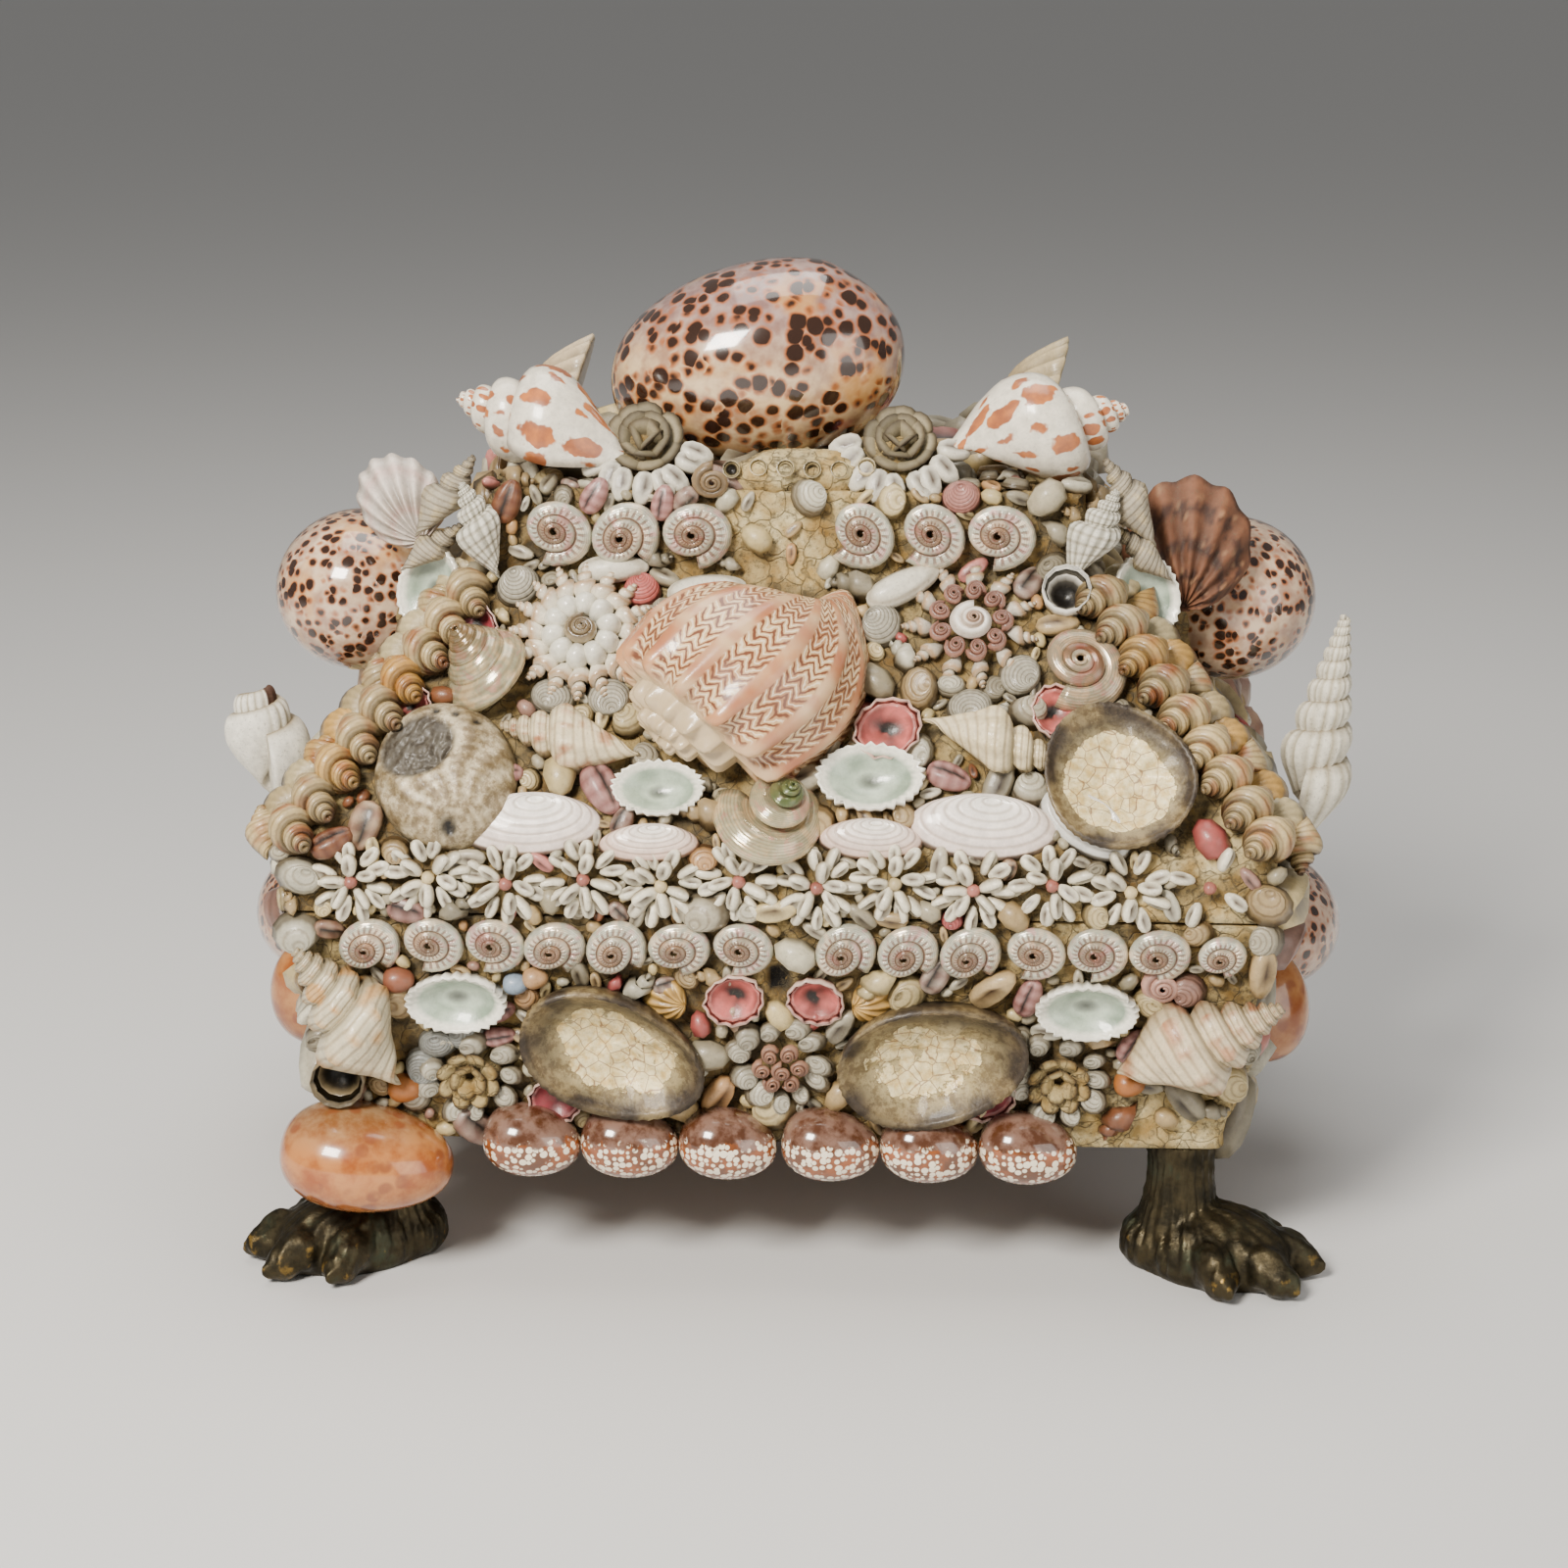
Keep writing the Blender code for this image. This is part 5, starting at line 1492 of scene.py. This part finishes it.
def ring(place, count, radius, form, lift=0.0, tilt=0.0, first=0.0):
    """Copies of a form round a place, each pointing away from its middle."""
    forms = []
    for i in range(count):
        spot = place @ turned(first + i * 360 / count) @ shifted(radius, 0, lift)
        forms.append(form.at(spot @ turned(tilt, "Y") @ turned(180)))
    return forms


def banded(form, colour, line, width=0.2):
    """A small snail in one colour, with a darker seam."""
    form.tint = between(colour, line, bump(form.side, 0.16, width))
    return form


def make_rosettes():
    """The two round groups of small snails on the slope."""
    pale, seam = linear(236, 228, 208), linear(170, 134, 92)
    place = front_at((595, 650), 0.001)
    spike = shaded_at_foot(banded(lying(coil(CONCH, 3.5, 1.6, 30, 9), 0.0160, 0.0080), pale, seam), 0.4)
    forms = ring(place, 16, 0.0182, spike, 0.0012, -14)
    white_bead = bead(0.0092, 0.0078, 0.0085, 9, 12).tinted(linear(240, 238, 228))
    forms += ring(place, 10, 0.0100, white_bead, 0.0026, -10, first=12)
    top = banded(top_snail(0.0118, 0.0110, 4.5, 16, 12), linear(168, 150, 116), linear(86, 70, 50), 0.3)
    forms.append(top.at(place @ shifted(z=0.0055)))
    build("sunburst_rosette", forms, "glossy shell")
    claim(place, 0.046, 0.046)
    place = front_at((990, 640), 0.001)
    top = banded(top_snail(0.0076, 0.0072), linear(170, 124, 108), linear(92, 60, 50))
    forms = ring(place, 9, 0.0112, top, 0.0035)
    spike = banded(lying(coil(CONCH, 3.5, 1.6, 30, 9), 0.0130, 0.0064), linear(206, 200, 184), seam)
    forms += ring(place, 11, 0.0180, shaded_at_foot(spike), 0.0, -12, first=20)
    forms.append(pearl(0.0145, 0.0110).tinted(0.95).at(place @ shifted(z=0.004)))
    build("pearl_rosette", forms, "satin shell")
    claim(place, 0.042, 0.042)


def make_wall_rosettes():
    """Rings of small clams on the wall: snails fill the middle one, and wedges of putty the outer two."""
    rng = np.random.default_rng(12)
    forms = []
    middle, left, right = (797, 1082), (480, 1095), (1080, 1100)
    for pixel, outer, reach in ((middle, 11, 0.0145), (left, 9, 0.0150), (right, 9, 0.0150)):
        place = front_at(pixel, 0.001)
        for i in range(outer):
            turn = turned((i + rng.uniform(-0.2, 0.2)) * 360 / outer)
            size = rng.uniform(0.0085, 0.0125)
            clam = shaded_at_foot(small_clam(size, size * rng.uniform(0.7, 0.95), rng, linear(190, 184, 164)))
            spot = turn @ shifted(reach * rng.uniform(0.9, 1.1), 0, 0.001) @ turned(-22, "Y")
            forms.append(clam.at(place @ spot))
        if pixel == middle:
            top = banded(top_snail(0.0066, 0.0062, 2.5), linear(164, 122, 100), linear(100, 68, 54))
            forms += ring(place, 6, 0.0068, top, 0.0030)
            forms.append(top.at(place @ shifted(z=0.0045)))
        claim(place, 0.036, 0.036)
    build("wall_rosettes", forms, "satin shell")
    stars = []
    for pixel in (left, right):
        for count, reach, lean in ((8, 0.0080, -40), (5, 0.0042, -60)):
            wedge = valve(0.0090, 0.0075, 0.0018, 5, 12)
            wedge.tint = wedge.tint * linear(206, 184, 130)
            stars += ring(front_at(pixel, 0.002), count, reach, shaded_at_foot(wedge), 0.002, lean, count * 9)
    build("putty_stars", stars, "putty coat")


def small_clam(length, width, rng, colour):
    """A small clam whose growth lines the material draws."""
    height = min(length, width) * rng.uniform(0.36, 0.55)
    form = valve(length, width, height, 4, 12, rng.uniform(-0.12, 0.12))
    share = np.linspace(0, 1, 5)[:, None] + 0 * form.zone
    form.zone = share * rng.integers(4, 8)
    return form.tinted(colour * rng.uniform(0.84, 1.08))


def shaded_at_foot(form, depth=0.65):
    """The form darkened towards its foot: painted shade where the shell is pressed into the putty."""
    height = form.points[..., 2]
    out_of_shade = smooth(height / max(height.max(), 1e-6), -0.15, depth)
    # Painted shade: the low part of the shell turns brown.
    form.tint = form.tint * between(linear(118, 100, 72), np.ones(3), out_of_shade)
    return form


def pack(spots, radius, crowd=0.62):
    """Those of the spots that have room for a shell of this radius, each of which takes its room."""
    room = np.concatenate(taken)
    taken[:] = [room]
    low, high = spots.min(axis=0) - 0.06, spots.max(axis=0) + 0.06
    room = room[((room[:, :3] > low) & (room[:, :3] < high)).all(axis=1)]
    if len(room):
        gap = np.linalg.norm(spots[:, None] - room[None, :, :3], axis=-1) - room[:, 3]
        spots = spots[gap.min(axis=1) > radius * crowd]
    kept = np.zeros((0, 3))
    for spot in spots:
        if (np.linalg.norm(kept - spot, axis=1) > radius * (1 + crowd)).all():
            kept = np.vstack([kept, spot])
    taken.append(np.column_stack([kept, np.full(len(kept), radius)]))
    return kept


def small_shell(size, rng, wild):
    """One of the small shells, of about this radius: clams and slit cups mostly, then snails and cowries."""
    kind = rng.choice(5, p=(0.26, 0.22, 0.20, 0.20, 0.12) if wild else (0.38, 0.24, 0.16, 0.14, 0.08))
    if size < 0.0032:
        kind = rng.choice((1, 3))
    colour = PALE_SHELLS[rng.integers(5)] * rng.uniform(0.75, 1.05)
    if rng.uniform() < 0.12:
        colour = BRIGHT_SHELLS[rng.integers(5)]
    if kind == 0:
        return shaded_at_foot(small_clam(size * 2.4, size * 2.0, rng, colour))
    if kind == 1:
        return shaded_at_foot(petal(size * 2.6, size * 1.3).tinted(colour))
    if kind == 2:
        return shaded_at_foot(banded(snail(size * 2.5, size * 1.5, 2.2, 6, 6), colour, colour * 0.5))
    if kind == 3:
        return shaded_at_foot(bead(size * 2.1, size * 1.6, size * 1.2, 5, 7).tinted(colour))
    lilac = between(colour, linear(150, 116, 108), 0.6)
    return shaded_at_foot(toothed_cowrie(size * 2.4, size * 1.6, 8, 10).tinted(lilac))


def random_spots(corners, count, rng, low=0.03, high=0.96):
    """Random spots between four corners: foot left, right, top left, right; few on bare patches."""
    across, up = rng.uniform(0, 1, (count, 1)), rng.uniform(low, high, (count, 1))
    left = corners[0] * (1 - up) + corners[2] * up
    right = corners[1] * (1 - up) + corners[3] * up
    spots = left * (1 - across) + right * across
    return spots[bareness(spots) < rng.uniform(0.05, 0.9, count)]


def scatter(frame_there, corners, sizes, rng, wild=False, cover=1.6):
    """Small shells thrown between four corners, large ones first, each kept only where it has room."""
    area = np.linalg.norm(np.cross(corners[1] - corners[0], corners[2] - corners[0]))
    forms = []
    for size in sizes:
        for spot in pack(random_spots(corners, int(cover * area / size**2), rng), size):
            tilt = turned(rng.uniform(-20, 20), "X") @ turned(rng.uniform(-20, 20), "Y")
            turn = shifted(z=-size * rng.uniform(0.0, 0.22)) @ turned(rng.uniform(0, 360)) @ tilt
            there = frame_there.copy()
            there[:3, 3] = spot
            forms.append(small_shell(size, rng, wild).at(there @ turn))
    return forms


def make_cockle_columns():
    """Ribbed clams and conchs down the outer side of the front hips, and a green limpet at each top."""
    rng = np.random.default_rng(31)
    forms = []
    colours = (linear(202, 184, 140), linear(176, 156, 114), linear(206, 162, 88))
    for sx in (-1, 1):
        for i in range(11):
            place = hip_frame(sx, -1, 0.02 + i * 0.092) @ shifted(sx * 0.0185, 0, -0.0060)
            place = place @ turned(sx * -34, "Y") @ turned(sx * 60 + rng.uniform(-25, 25))
            tint = colours[rng.choice(3, p=(0.5, 0.35, 0.15))] * rng.uniform(0.8, 1.05)
            form = valve(0.0180, 0.0165, 0.0085, 6, 26, 0.02, 0.09).tinted(tint)
            forms.append(shaded_at_foot(form if i % 3 else hip_conch(0.021, 0.0135, rng)).at(place))
            claim(place, 0.018, 0.017)
    build("cockle_columns", forms, "satin shell")
    forms = []
    for sx in (-1, 1):
        place = shifted(sx * (CROWN_HALF[0] + 0.020), -0.058, SLOPE_TOP - 0.010)
        place = place @ turned(78, "X") @ turned(sx * 24, "Y")
        forms.append(limpet(0.024, 0.030, 0.007, 0.05).at(place @ turned(sx * 20)))
        claim(place, 0.024, 0.024)
    build("hip_limpets", forms, "glossy shell")


def putty_heap(length, width, height, cols, foot, amount, seed):
    """A heap of putty on the platform, lumpy by that amount."""
    lump = bead(length, width, height, 16, cols).at(foot)
    return putty_form(lump.points, np.full((16, 1), amount), seed)


def make_roses():
    """The ragged shell roses beside the great cowrie on their heaps of putty, and the tubes before it."""
    rng = np.random.default_rng(41)
    rose, cups, heaps = [], [], []
    for pixel, size in (((655, 445), 1.0), ((918, 462), 0.95)):
        across = share_on("front", "crown", *pixel)[0]
        foot = on_platform(across, -0.72)
        heaps.append(putty_heap(0.036, 0.026, 0.019, 28, foot, 0.0006, 61))
        place = foot @ shifted(0, -0.006, 0.0150) @ turned(52, "X")
        rings = ((9, 0.0100, -38, 0.0), (7, 0.0066, -58, 0.0015), (4, 0.0032, -74, 0.0030))
        for count, reach, lean, lift in rings:
            for i in range(count):
                turn = turned((i + rng.uniform(-0.3, 0.3)) * 360 / count + lift * 9000)
                spot = turn @ shifted(reach * size, 0, lift) @ turned(lean, "Y") @ turned(90)
                form = valve(0.0120 * size, 0.0095 * size, 0.0018, 5, 12)
                form = form.tinted(linear(150, 138, 108) * rng.uniform(0.6, 1.1))
                rose.append(shaded_at_foot(form).at(place @ spot))
        for i in range(9):
            turn = turned(188 + i * 20 + rng.uniform(-5, 5))
            form = petal(0.0125, 0.0080).tinted(linear(222, 216, 198) * rng.uniform(0.88, 1.05))
            spot = turn @ shifted(0.0185, 0, -0.002) @ turned(16, "Y") @ turned(rng.uniform(-20, 20))
            cups.append(shaded_at_foot(form).at(place @ spot))
        claim(place, 0.040, 0.040)
    across = share_on("front", "crown", 815, 500)[0]
    heaps.append(putty_heap(0.052, 0.018, 0.013, 30, on_platform(across, -0.86), 0.0013, 63))
    for i in range(6):
        spot = on_platform(across + (i - 2.5) * 0.09, -0.93) @ shifted(z=0.006)
        spot = spot @ turned(60 + rng.uniform(-20, 20), "X")
        cups.append(tube_mouth(0.0062, 0.0045).tinted(linear(214, 196, 152)).at(spot))
    build("shell_roses", rose, "chalky shell")
    build("rose_cups", cups, "satin shell")
    build("crown_heaps", heaps, "putty coat")


def make_ceriths():
    """Grey knobbed spires that stand out past the crown's front corners."""
    spires = ((1.15, 0.85, (0.036, 0.0155), 34), (1.20, 0.20, (0.028, 0.012), 50))
    look = (11, 0.22, linear(168, 158, 138), SAND)
    forms = []
    for sx in (-1, 1):
        for seed, (out, up, size, lean) in enumerate(spires, 70):
            place = facing("front", "crown", sx * out, up) @ shifted(z=-0.010) @ turned(-90 + sx * lean)
            forms.append(knobbed(CONCH, size, 5.0, 1.5, *look, seed, 24, 16).at(place))
            claim(place, *size)
    build("grey_ceriths", forms, "chalky shell")


def broken_snail(width, colour):
    """A broken snail, its pink hollow outwards, with a hole to one side painted black for the shade inside
    it.
    """
    form = dish(width, width * 0.86, width * 0.30, 26, 0.06, 0.14, 0.05)
    side = smooth(np.cos(round_angles(26) - 0.7) + 0.5 * (form.zone < 0.2), -0.4, 0.4)
    # Painted shade: the hole to one side is darkened to black.
    dark = (1 - smooth(form.zone, 0.25, 0.60)) * side
    cloud = smooth(0.5 + waves(form.points, width * 0.4, 5), 0.1, 1.2) * (form.zone < 0.8)
    inside = between(colour, colour * 0.45, cloud)
    form.tint = between(between(inside, linear(206, 176, 160), smooth(form.zone, 0.84, 0.95)), BLACK, dark)
    return plain(form)


def odd_shell(kind, size, colour):
    if kind == "broken":
        return broken_snail(size, colour)
    if kind == "fan":
        return fan(size, size, size * 0.25, 9, 7).tinted(colour)
    if kind == "clam":
        form = valve(size, size * 0.88, size * 0.34, 9, 30, 0.04, 0.03)
        form.zone = np.linspace(0, 9, 10)[:, None] + 0 * form.zone
        return form.tinted(colour)
    if kind == "slit":
        return toothed_cowrie(size, size * 0.62, 12, 18).tinted(colour)
    if kind == "long":
        return cowrie(size, size * 0.40, size * 0.30, 14, 16).tinted(colour)
    if kind == "tube":
        return tube_mouth(size, size * 0.7).tinted(colour)
    if kind == "top":
        return banded(top_snail(size, size * 0.6, 3.0, 14, 12), colour, colour * 0.4)
    return bead(size, size * 0.85, size * 0.7, 10, 14).tinted(colour)


def make_odd_shells():
    """The single small shells that stand out on the front: place in the photograph, size and turn."""
    pink, wine, grey = linear(204, 104, 98), linear(150, 58, 66), linear(176, 170, 152)
    mauve, white, yellow = linear(172, 128, 122), linear(228, 224, 212), linear(216, 174, 98)
    slate = linear(150, 152, 146)
    groups = (
        ("broken", pink, ((750, 1015, 0.021, 20), (833, 1015, 0.020, 160))),
        ("broken", wine, ((568, 1118, 0.019, 0), (1008, 1113, 0.020, 40))),
        ("broken", pink, ((415, 722, 0.018, 0), (1075, 730, 0.019, 90), (905, 748, 0.024, 30))),
        ("broken", wine, ((485, 640, 0.018, -30),)),
        ("fan", yellow, ((700, 1020, 0.016, 180), (870, 1022, 0.016, 0))),
        ("slit", mauve, ((516, 790, 0.013, 0), (614, 808, 0.020, -60), (968, 795, 0.016, -20))),
        ("slit", mauve, ((1050, 1015, 0.015, 70), (1155, 1065, 0.014, 60), (510, 1030, 0.012, 20))),
        ("slit", mauve, ((510, 1055, 0.012, 10), (608, 505, 0.014, 60), (677, 512, 0.013, 80))),
        ("slit", linear(120, 76, 50), ((340, 862, 0.016, 30), (518, 510, 0.016, 70))),
        ("long", white, ((922, 602, 0.028, 28), (722, 606, 0.028, 8), (627, 580, 0.025, 5))),
        ("round", ORANGE * 0.8, ((415, 1105, 0.0125, 0), (1152, 1102, 0.011, 0))),
        ("round", linear(150, 92, 70), ((408, 995, 0.011, 0),)),
        ("round", BLACK, ((418, 685, 0.010, 0),)),
        ("round", linear(190, 150, 110), ((547, 995, 0.009, 0),)),
        ("round", linear(150, 170, 196), ((527, 1000, 0.009, 0),)),
        ("top", linear(196, 150, 134), ((1183, 1002, 0.013, 0),)),
        ("top", linear(140, 116, 84), ((725, 488, 0.013, 0),)),
        ("tube", white, ((1087, 612, 0.017, 0),)),
        ("tube", linear(130, 114, 84), ((350, 1088, 0.019, 0),)),
        ("clam", grey, ((530, 600, 0.0165, 30), (518, 672, 0.0165, 90), (565, 712, 0.0165, 160))),
        ("clam", grey, ((622, 712, 0.0165, 200), (900, 640, 0.0165, 60), (1040, 690, 0.0165, 240))),
        ("clam", grey, ((990, 722, 0.0165, 190), (660, 640, 0.0165, -60))),
        ("clam", slate, ((448, 1062, 0.015, 20), (478, 1052, 0.015, 80), (435, 1085, 0.015, 140))),
        ("clam", linear(190, 130, 120), ((981, 508, 0.014, 10),)),
        ("clam", pink, ((655, 605, 0.014, 10),)),
    )
    rng = np.random.default_rng(51)
    forms = []
    for kind, colour, spots in groups:
        for x, y, size, turn in spots:
            place = front_at((x, y), 0.0002) @ turned(turn)
            form = odd_shell(kind, size, colour * rng.uniform(0.9, 1.05))
            forms.append(shaded_at_foot(form, 0.4).at(place @ turned(rng.uniform(-10, 10), "X")))
            claim(place, size, size * 0.7)
    build("odd_shells", forms, "satin shell")


def make_filler():
    """The small shells that fill every face; larger ones on the ends and the back."""
    rng = np.random.default_rng(21)
    fine = (0.0075, 0.0060, 0.0048, 0.0038, 0.0030, 0.0023)
    coarse = (0.0125, 0.0100, 0.0078, 0.0060, 0.0045, 0.0034)
    claim(KEYHOLE, 0.013, 0.013)
    for side in FACINGS:
        for stage in STAGES:
            corners = [facing(side, stage, a, u)[:3, 3] for u in (0, 1) for a in (-1, 1)]
            sizes = fine if side == "front" else coarse
            forms = scatter(facing(side, stage, 0, 0), corners, sizes, rng, stage == "crown", 2.2)
            build(f"small_shells_{side}_{stage}", forms, "satin shell")
    corners = [on_platform(a, d)[:3, 3] for d in (-1, 1) for a in (-1, 1)]
    forms = scatter(on_platform(0, 0), corners, (0.0105, 0.0080, 0.0060, 0.0045, 0.0034), rng, True)
    build("small_shells_top", forms, "satin shell")


# Paws


def egg(centre, radii, turn=0.0):
    """An egg-shaped lump with half sizes along X, Y and Z, set round the Z axis."""
    form = cowrie(radii[0] * 2, radii[1] * 2, 1.0, 14, 18, 0.0)
    form.points[..., 2] *= radii[2]
    return form.at(turned(turn) @ shifted(*centre))


def paw_mesh():
    """A lion's foot whose toes point along +X: lumps melted into one skin and smoothed."""
    top = FOOT_HEIGHT - GAP
    z = np.array((0.0, 0.0, 0.004, 0.010, 0.018, 0.026, 0.034, 0.042, top, top))[:, None]
    girth = np.array((0.002, 0.0150, 0.0162, 0.0160, 0.0148, 0.0128, 0.0116, 0.0118, 0.0130, 0.002))[:, None]
    around = round_angles(28)
    forms = [Form(np.stack([girth * np.cos(around), girth * np.sin(around), z + 0 * around], -1))]
    forms.append(egg((0.016, 0, 0.008), (0.026, 0.0205, 0.0175)))
    forms.append(egg((-0.004, 0, 0.008), (0.0165, 0.0165, 0.012)))
    for turn, reach in ((-40, 0.80), (-13, 1.0), (13, 1.0), (40, 0.80)):
        tip = PAW_LENGTH * reach
        forms.append(egg((tip - 0.021, 0, 0.0080), (0.0120, 0.0074, 0.0095), turn))
        forms.append(egg((tip - 0.0145, 0, 0.0095), (0.0085, 0.0076, 0.0088), turn))
        forms.append(egg((tip - 0.0085, 0, 0.0068), (0.0066, 0.0066, 0.0068), turn))
        forms.append(egg((tip - 0.0040, 0, 0.0055), (0.0044, 0.0026, 0.0040), turn))
    lumps = bpy.data.objects.new("lumps", mesh_of(forms))
    bpy.context.scene.collection.objects.link(lumps)
    melt = lumps.modifiers.new("melt", "REMESH")
    melt.mode = "VOXEL"
    melt.voxel_size = 0.00105
    relax = lumps.modifiers.new("relax", "SMOOTH")
    relax.iterations = 4
    graph = bpy.context.evaluated_depsgraph_get()
    mesh = bpy.data.meshes.new_from_object(lumps.evaluated_get(graph))
    bpy.data.objects.remove(lumps)
    return mesh


def combed(mesh):
    """The paw's points after combing, and the worn share of each.

    Fur is a set of waves round the ankle, sin(k a + noise), so its streaks run down the shin and out
    along the toes. A point is worn where it stands out from the mean of its neighbours.
    """
    points = np.empty(len(mesh.vertices) * 3, np.float32)
    mesh.vertices.foreach_get("co", points)
    points = points.reshape(-1, 3).astype(float)
    normals = np.empty(len(mesh.vertices) * 3, np.float32)
    mesh.vertices.foreach_get("normal", normals)
    normals = normals.reshape(-1, 3)
    edges = np.empty(len(mesh.edges) * 2, np.int32)
    mesh.edges.foreach_get("vertices", edges)
    edges = np.concatenate([edges.reshape(-1, 2), edges.reshape(-1, 2)[:, ::-1]])
    total = np.bincount(edges[:, 0], minlength=len(points))
    mean = np.stack([np.bincount(edges[:, 0], points[edges[:, 1], k], len(points)) for k in range(3)], -1)
    proud = np.einsum("ij,ij->i", points - mean / total[:, None], normals)
    angle = np.arctan2(points[:, 1], points[:, 0])
    fur = np.sin(23 * angle + 2.2 * waves(points, 0.022, 61))
    fur = fur + 0.6 * np.sin(41 * angle + 3 * waves(points, 0.015, 62))
    depth = 0.00042 * smooth(points[:, 2], 0.001, 0.006)
    points += normals * (depth * fur)[:, None]
    points[:, 2] = np.maximum(points[:, 2], 0)
    worn = 0.55 * smooth(proud, 0.0, 0.00009) + 0.25 * smooth(fur, 0.2, 1.4)
    worn = worn + 0.3 * smooth(points[:, 2], 0.030, 0.010)
    return points, worn


def make_paws():
    """Four copies of the paw, under the corners, toes splayed out and a little forward or back."""
    melted = paw_mesh()
    points, worn = combed(melted)
    corners = (("front_left", -1, -1), ("front_right", 1, -1), ("back_left", -1, 1), ("back_right", 1, 1))
    splay = math.radians(PAW_SPLAY)
    for name, sx, sy in corners:
        foot = shifted(sx * (BASE_HALF[0] - ANKLE_INSET), sy * (BASE_HALF[1] - ANKLE_INSET))
        foot = foot @ turned(math.degrees(math.atan2(sy * math.sin(splay), sx * math.cos(splay))))
        mesh = melted.copy()
        placed = points @ foot[:3, :3].T + foot[:3, 3]
        mesh.vertices.foreach_set("co", placed.astype(np.float32).ravel())
        mesh.attributes.new("zone", "FLOAT", "POINT").data.foreach_set("value", worn.astype(np.float32))
        mesh.shade_smooth()
        mesh.update()
        mesh.materials.clear()
        finished(f"cast_paw_{name}", mesh, "cast bronze", [f"paw_{name}"])


# Camera and studio


def make_camera():
    place, right, up, ahead = camera_axes()
    data = bpy.data.cameras.new("camera")
    data.sensor_width = SENSOR * 1000
    data.lens = FOCAL * 1000
    camera = bpy.data.objects.new("camera", data)
    camera.matrix_world = Matrix(frame_of(right, up, -ahead, place).tolist())
    bpy.context.scene.collection.objects.link(camera)
    bpy.context.scene.camera = camera


def area_light(name, spot, aim, size, power, colour=(1, 1, 1)):
    data = bpy.data.lights.new(name, "AREA")
    data.shape = "RECTANGLE"
    data.size, data.size_y = size
    data.energy = power
    data.color = colour
    light = bpy.data.objects.new(name, data)
    light.location = spot
    light.rotation_euler = (Vector(aim) - Vector(spot)).to_track_quat("-Z", "Y").to_euler()
    bpy.context.scene.collection.objects.link(light)


def make_studio():
    """A pale floor, a grey surround, a strong light at the front left, a weak one right and one above."""
    mesh = bpy.data.meshes.new("floor")
    side = 40.0
    corners = [(-side, -side, 0), (side, -side, 0), (side, side, 0), (-side, side, 0)]
    mesh.from_pydata(corners, [], [(0, 1, 2, 3)])
    material = bpy.data.materials.new("floor")
    material.use_nodes = True
    shader = material.node_tree.nodes["Principled BSDF"]
    shader.inputs["Base Color"].default_value = (0.66, 0.66, 0.66, 1)
    shader.inputs["Roughness"].default_value = 0.6
    mesh.materials.append(material)
    floor = bpy.data.objects.new("floor", mesh)
    bpy.context.scene.collection.objects.link(floor)
    world = bpy.data.worlds.new("studio")
    world.use_nodes = True
    world.node_tree.nodes["Background"].inputs[0].default_value = (0.62, 0.61, 0.59, 1)
    world.node_tree.nodes["Background"].inputs[1].default_value = 0.38
    bpy.context.scene.world = world
    area_light("key", (-0.6, -1.3, 1.2), (0, 0, 0.15), (0.5, 0.5), 58, (1.0, 0.94, 0.85))
    area_light("fill", (1.3, -1.2, 0.5), (0, 0, 0.15), (1.0, 1.0), 9, (1.0, 0.96, 0.90))
    area_light("overhead", (0, 0.2, 1.6), (0, 0, 0.1), (1.0, 1.0), 15, (1.0, 0.97, 0.92))


def main():
    make_camera()
    make_studio()
    make_materials()
    for node in ("carcass", "lid"):
        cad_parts[node].data.materials.clear()
        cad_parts[node].data.materials.append(bpy.data.materials["pine"])
    make_putty_coats()
    make_spotted_cowries()
    make_bottom_cowries()
    make_harp_shell()
    make_babylonias()
    make_front_snails()
    make_pearls()
    make_turbans()
    make_limpets()
    make_abalones()
    make_tellins()
    make_hip_rows()
    make_ribbed_whelks()
    make_back_cockles()
    make_horns()
    make_scallops()
    make_frieze()
    make_rosettes()
    make_wall_rosettes()
    make_odd_shells()
    make_cockle_columns()
    make_roses()
    make_ceriths()
    make_filler()
    make_paws()


main()
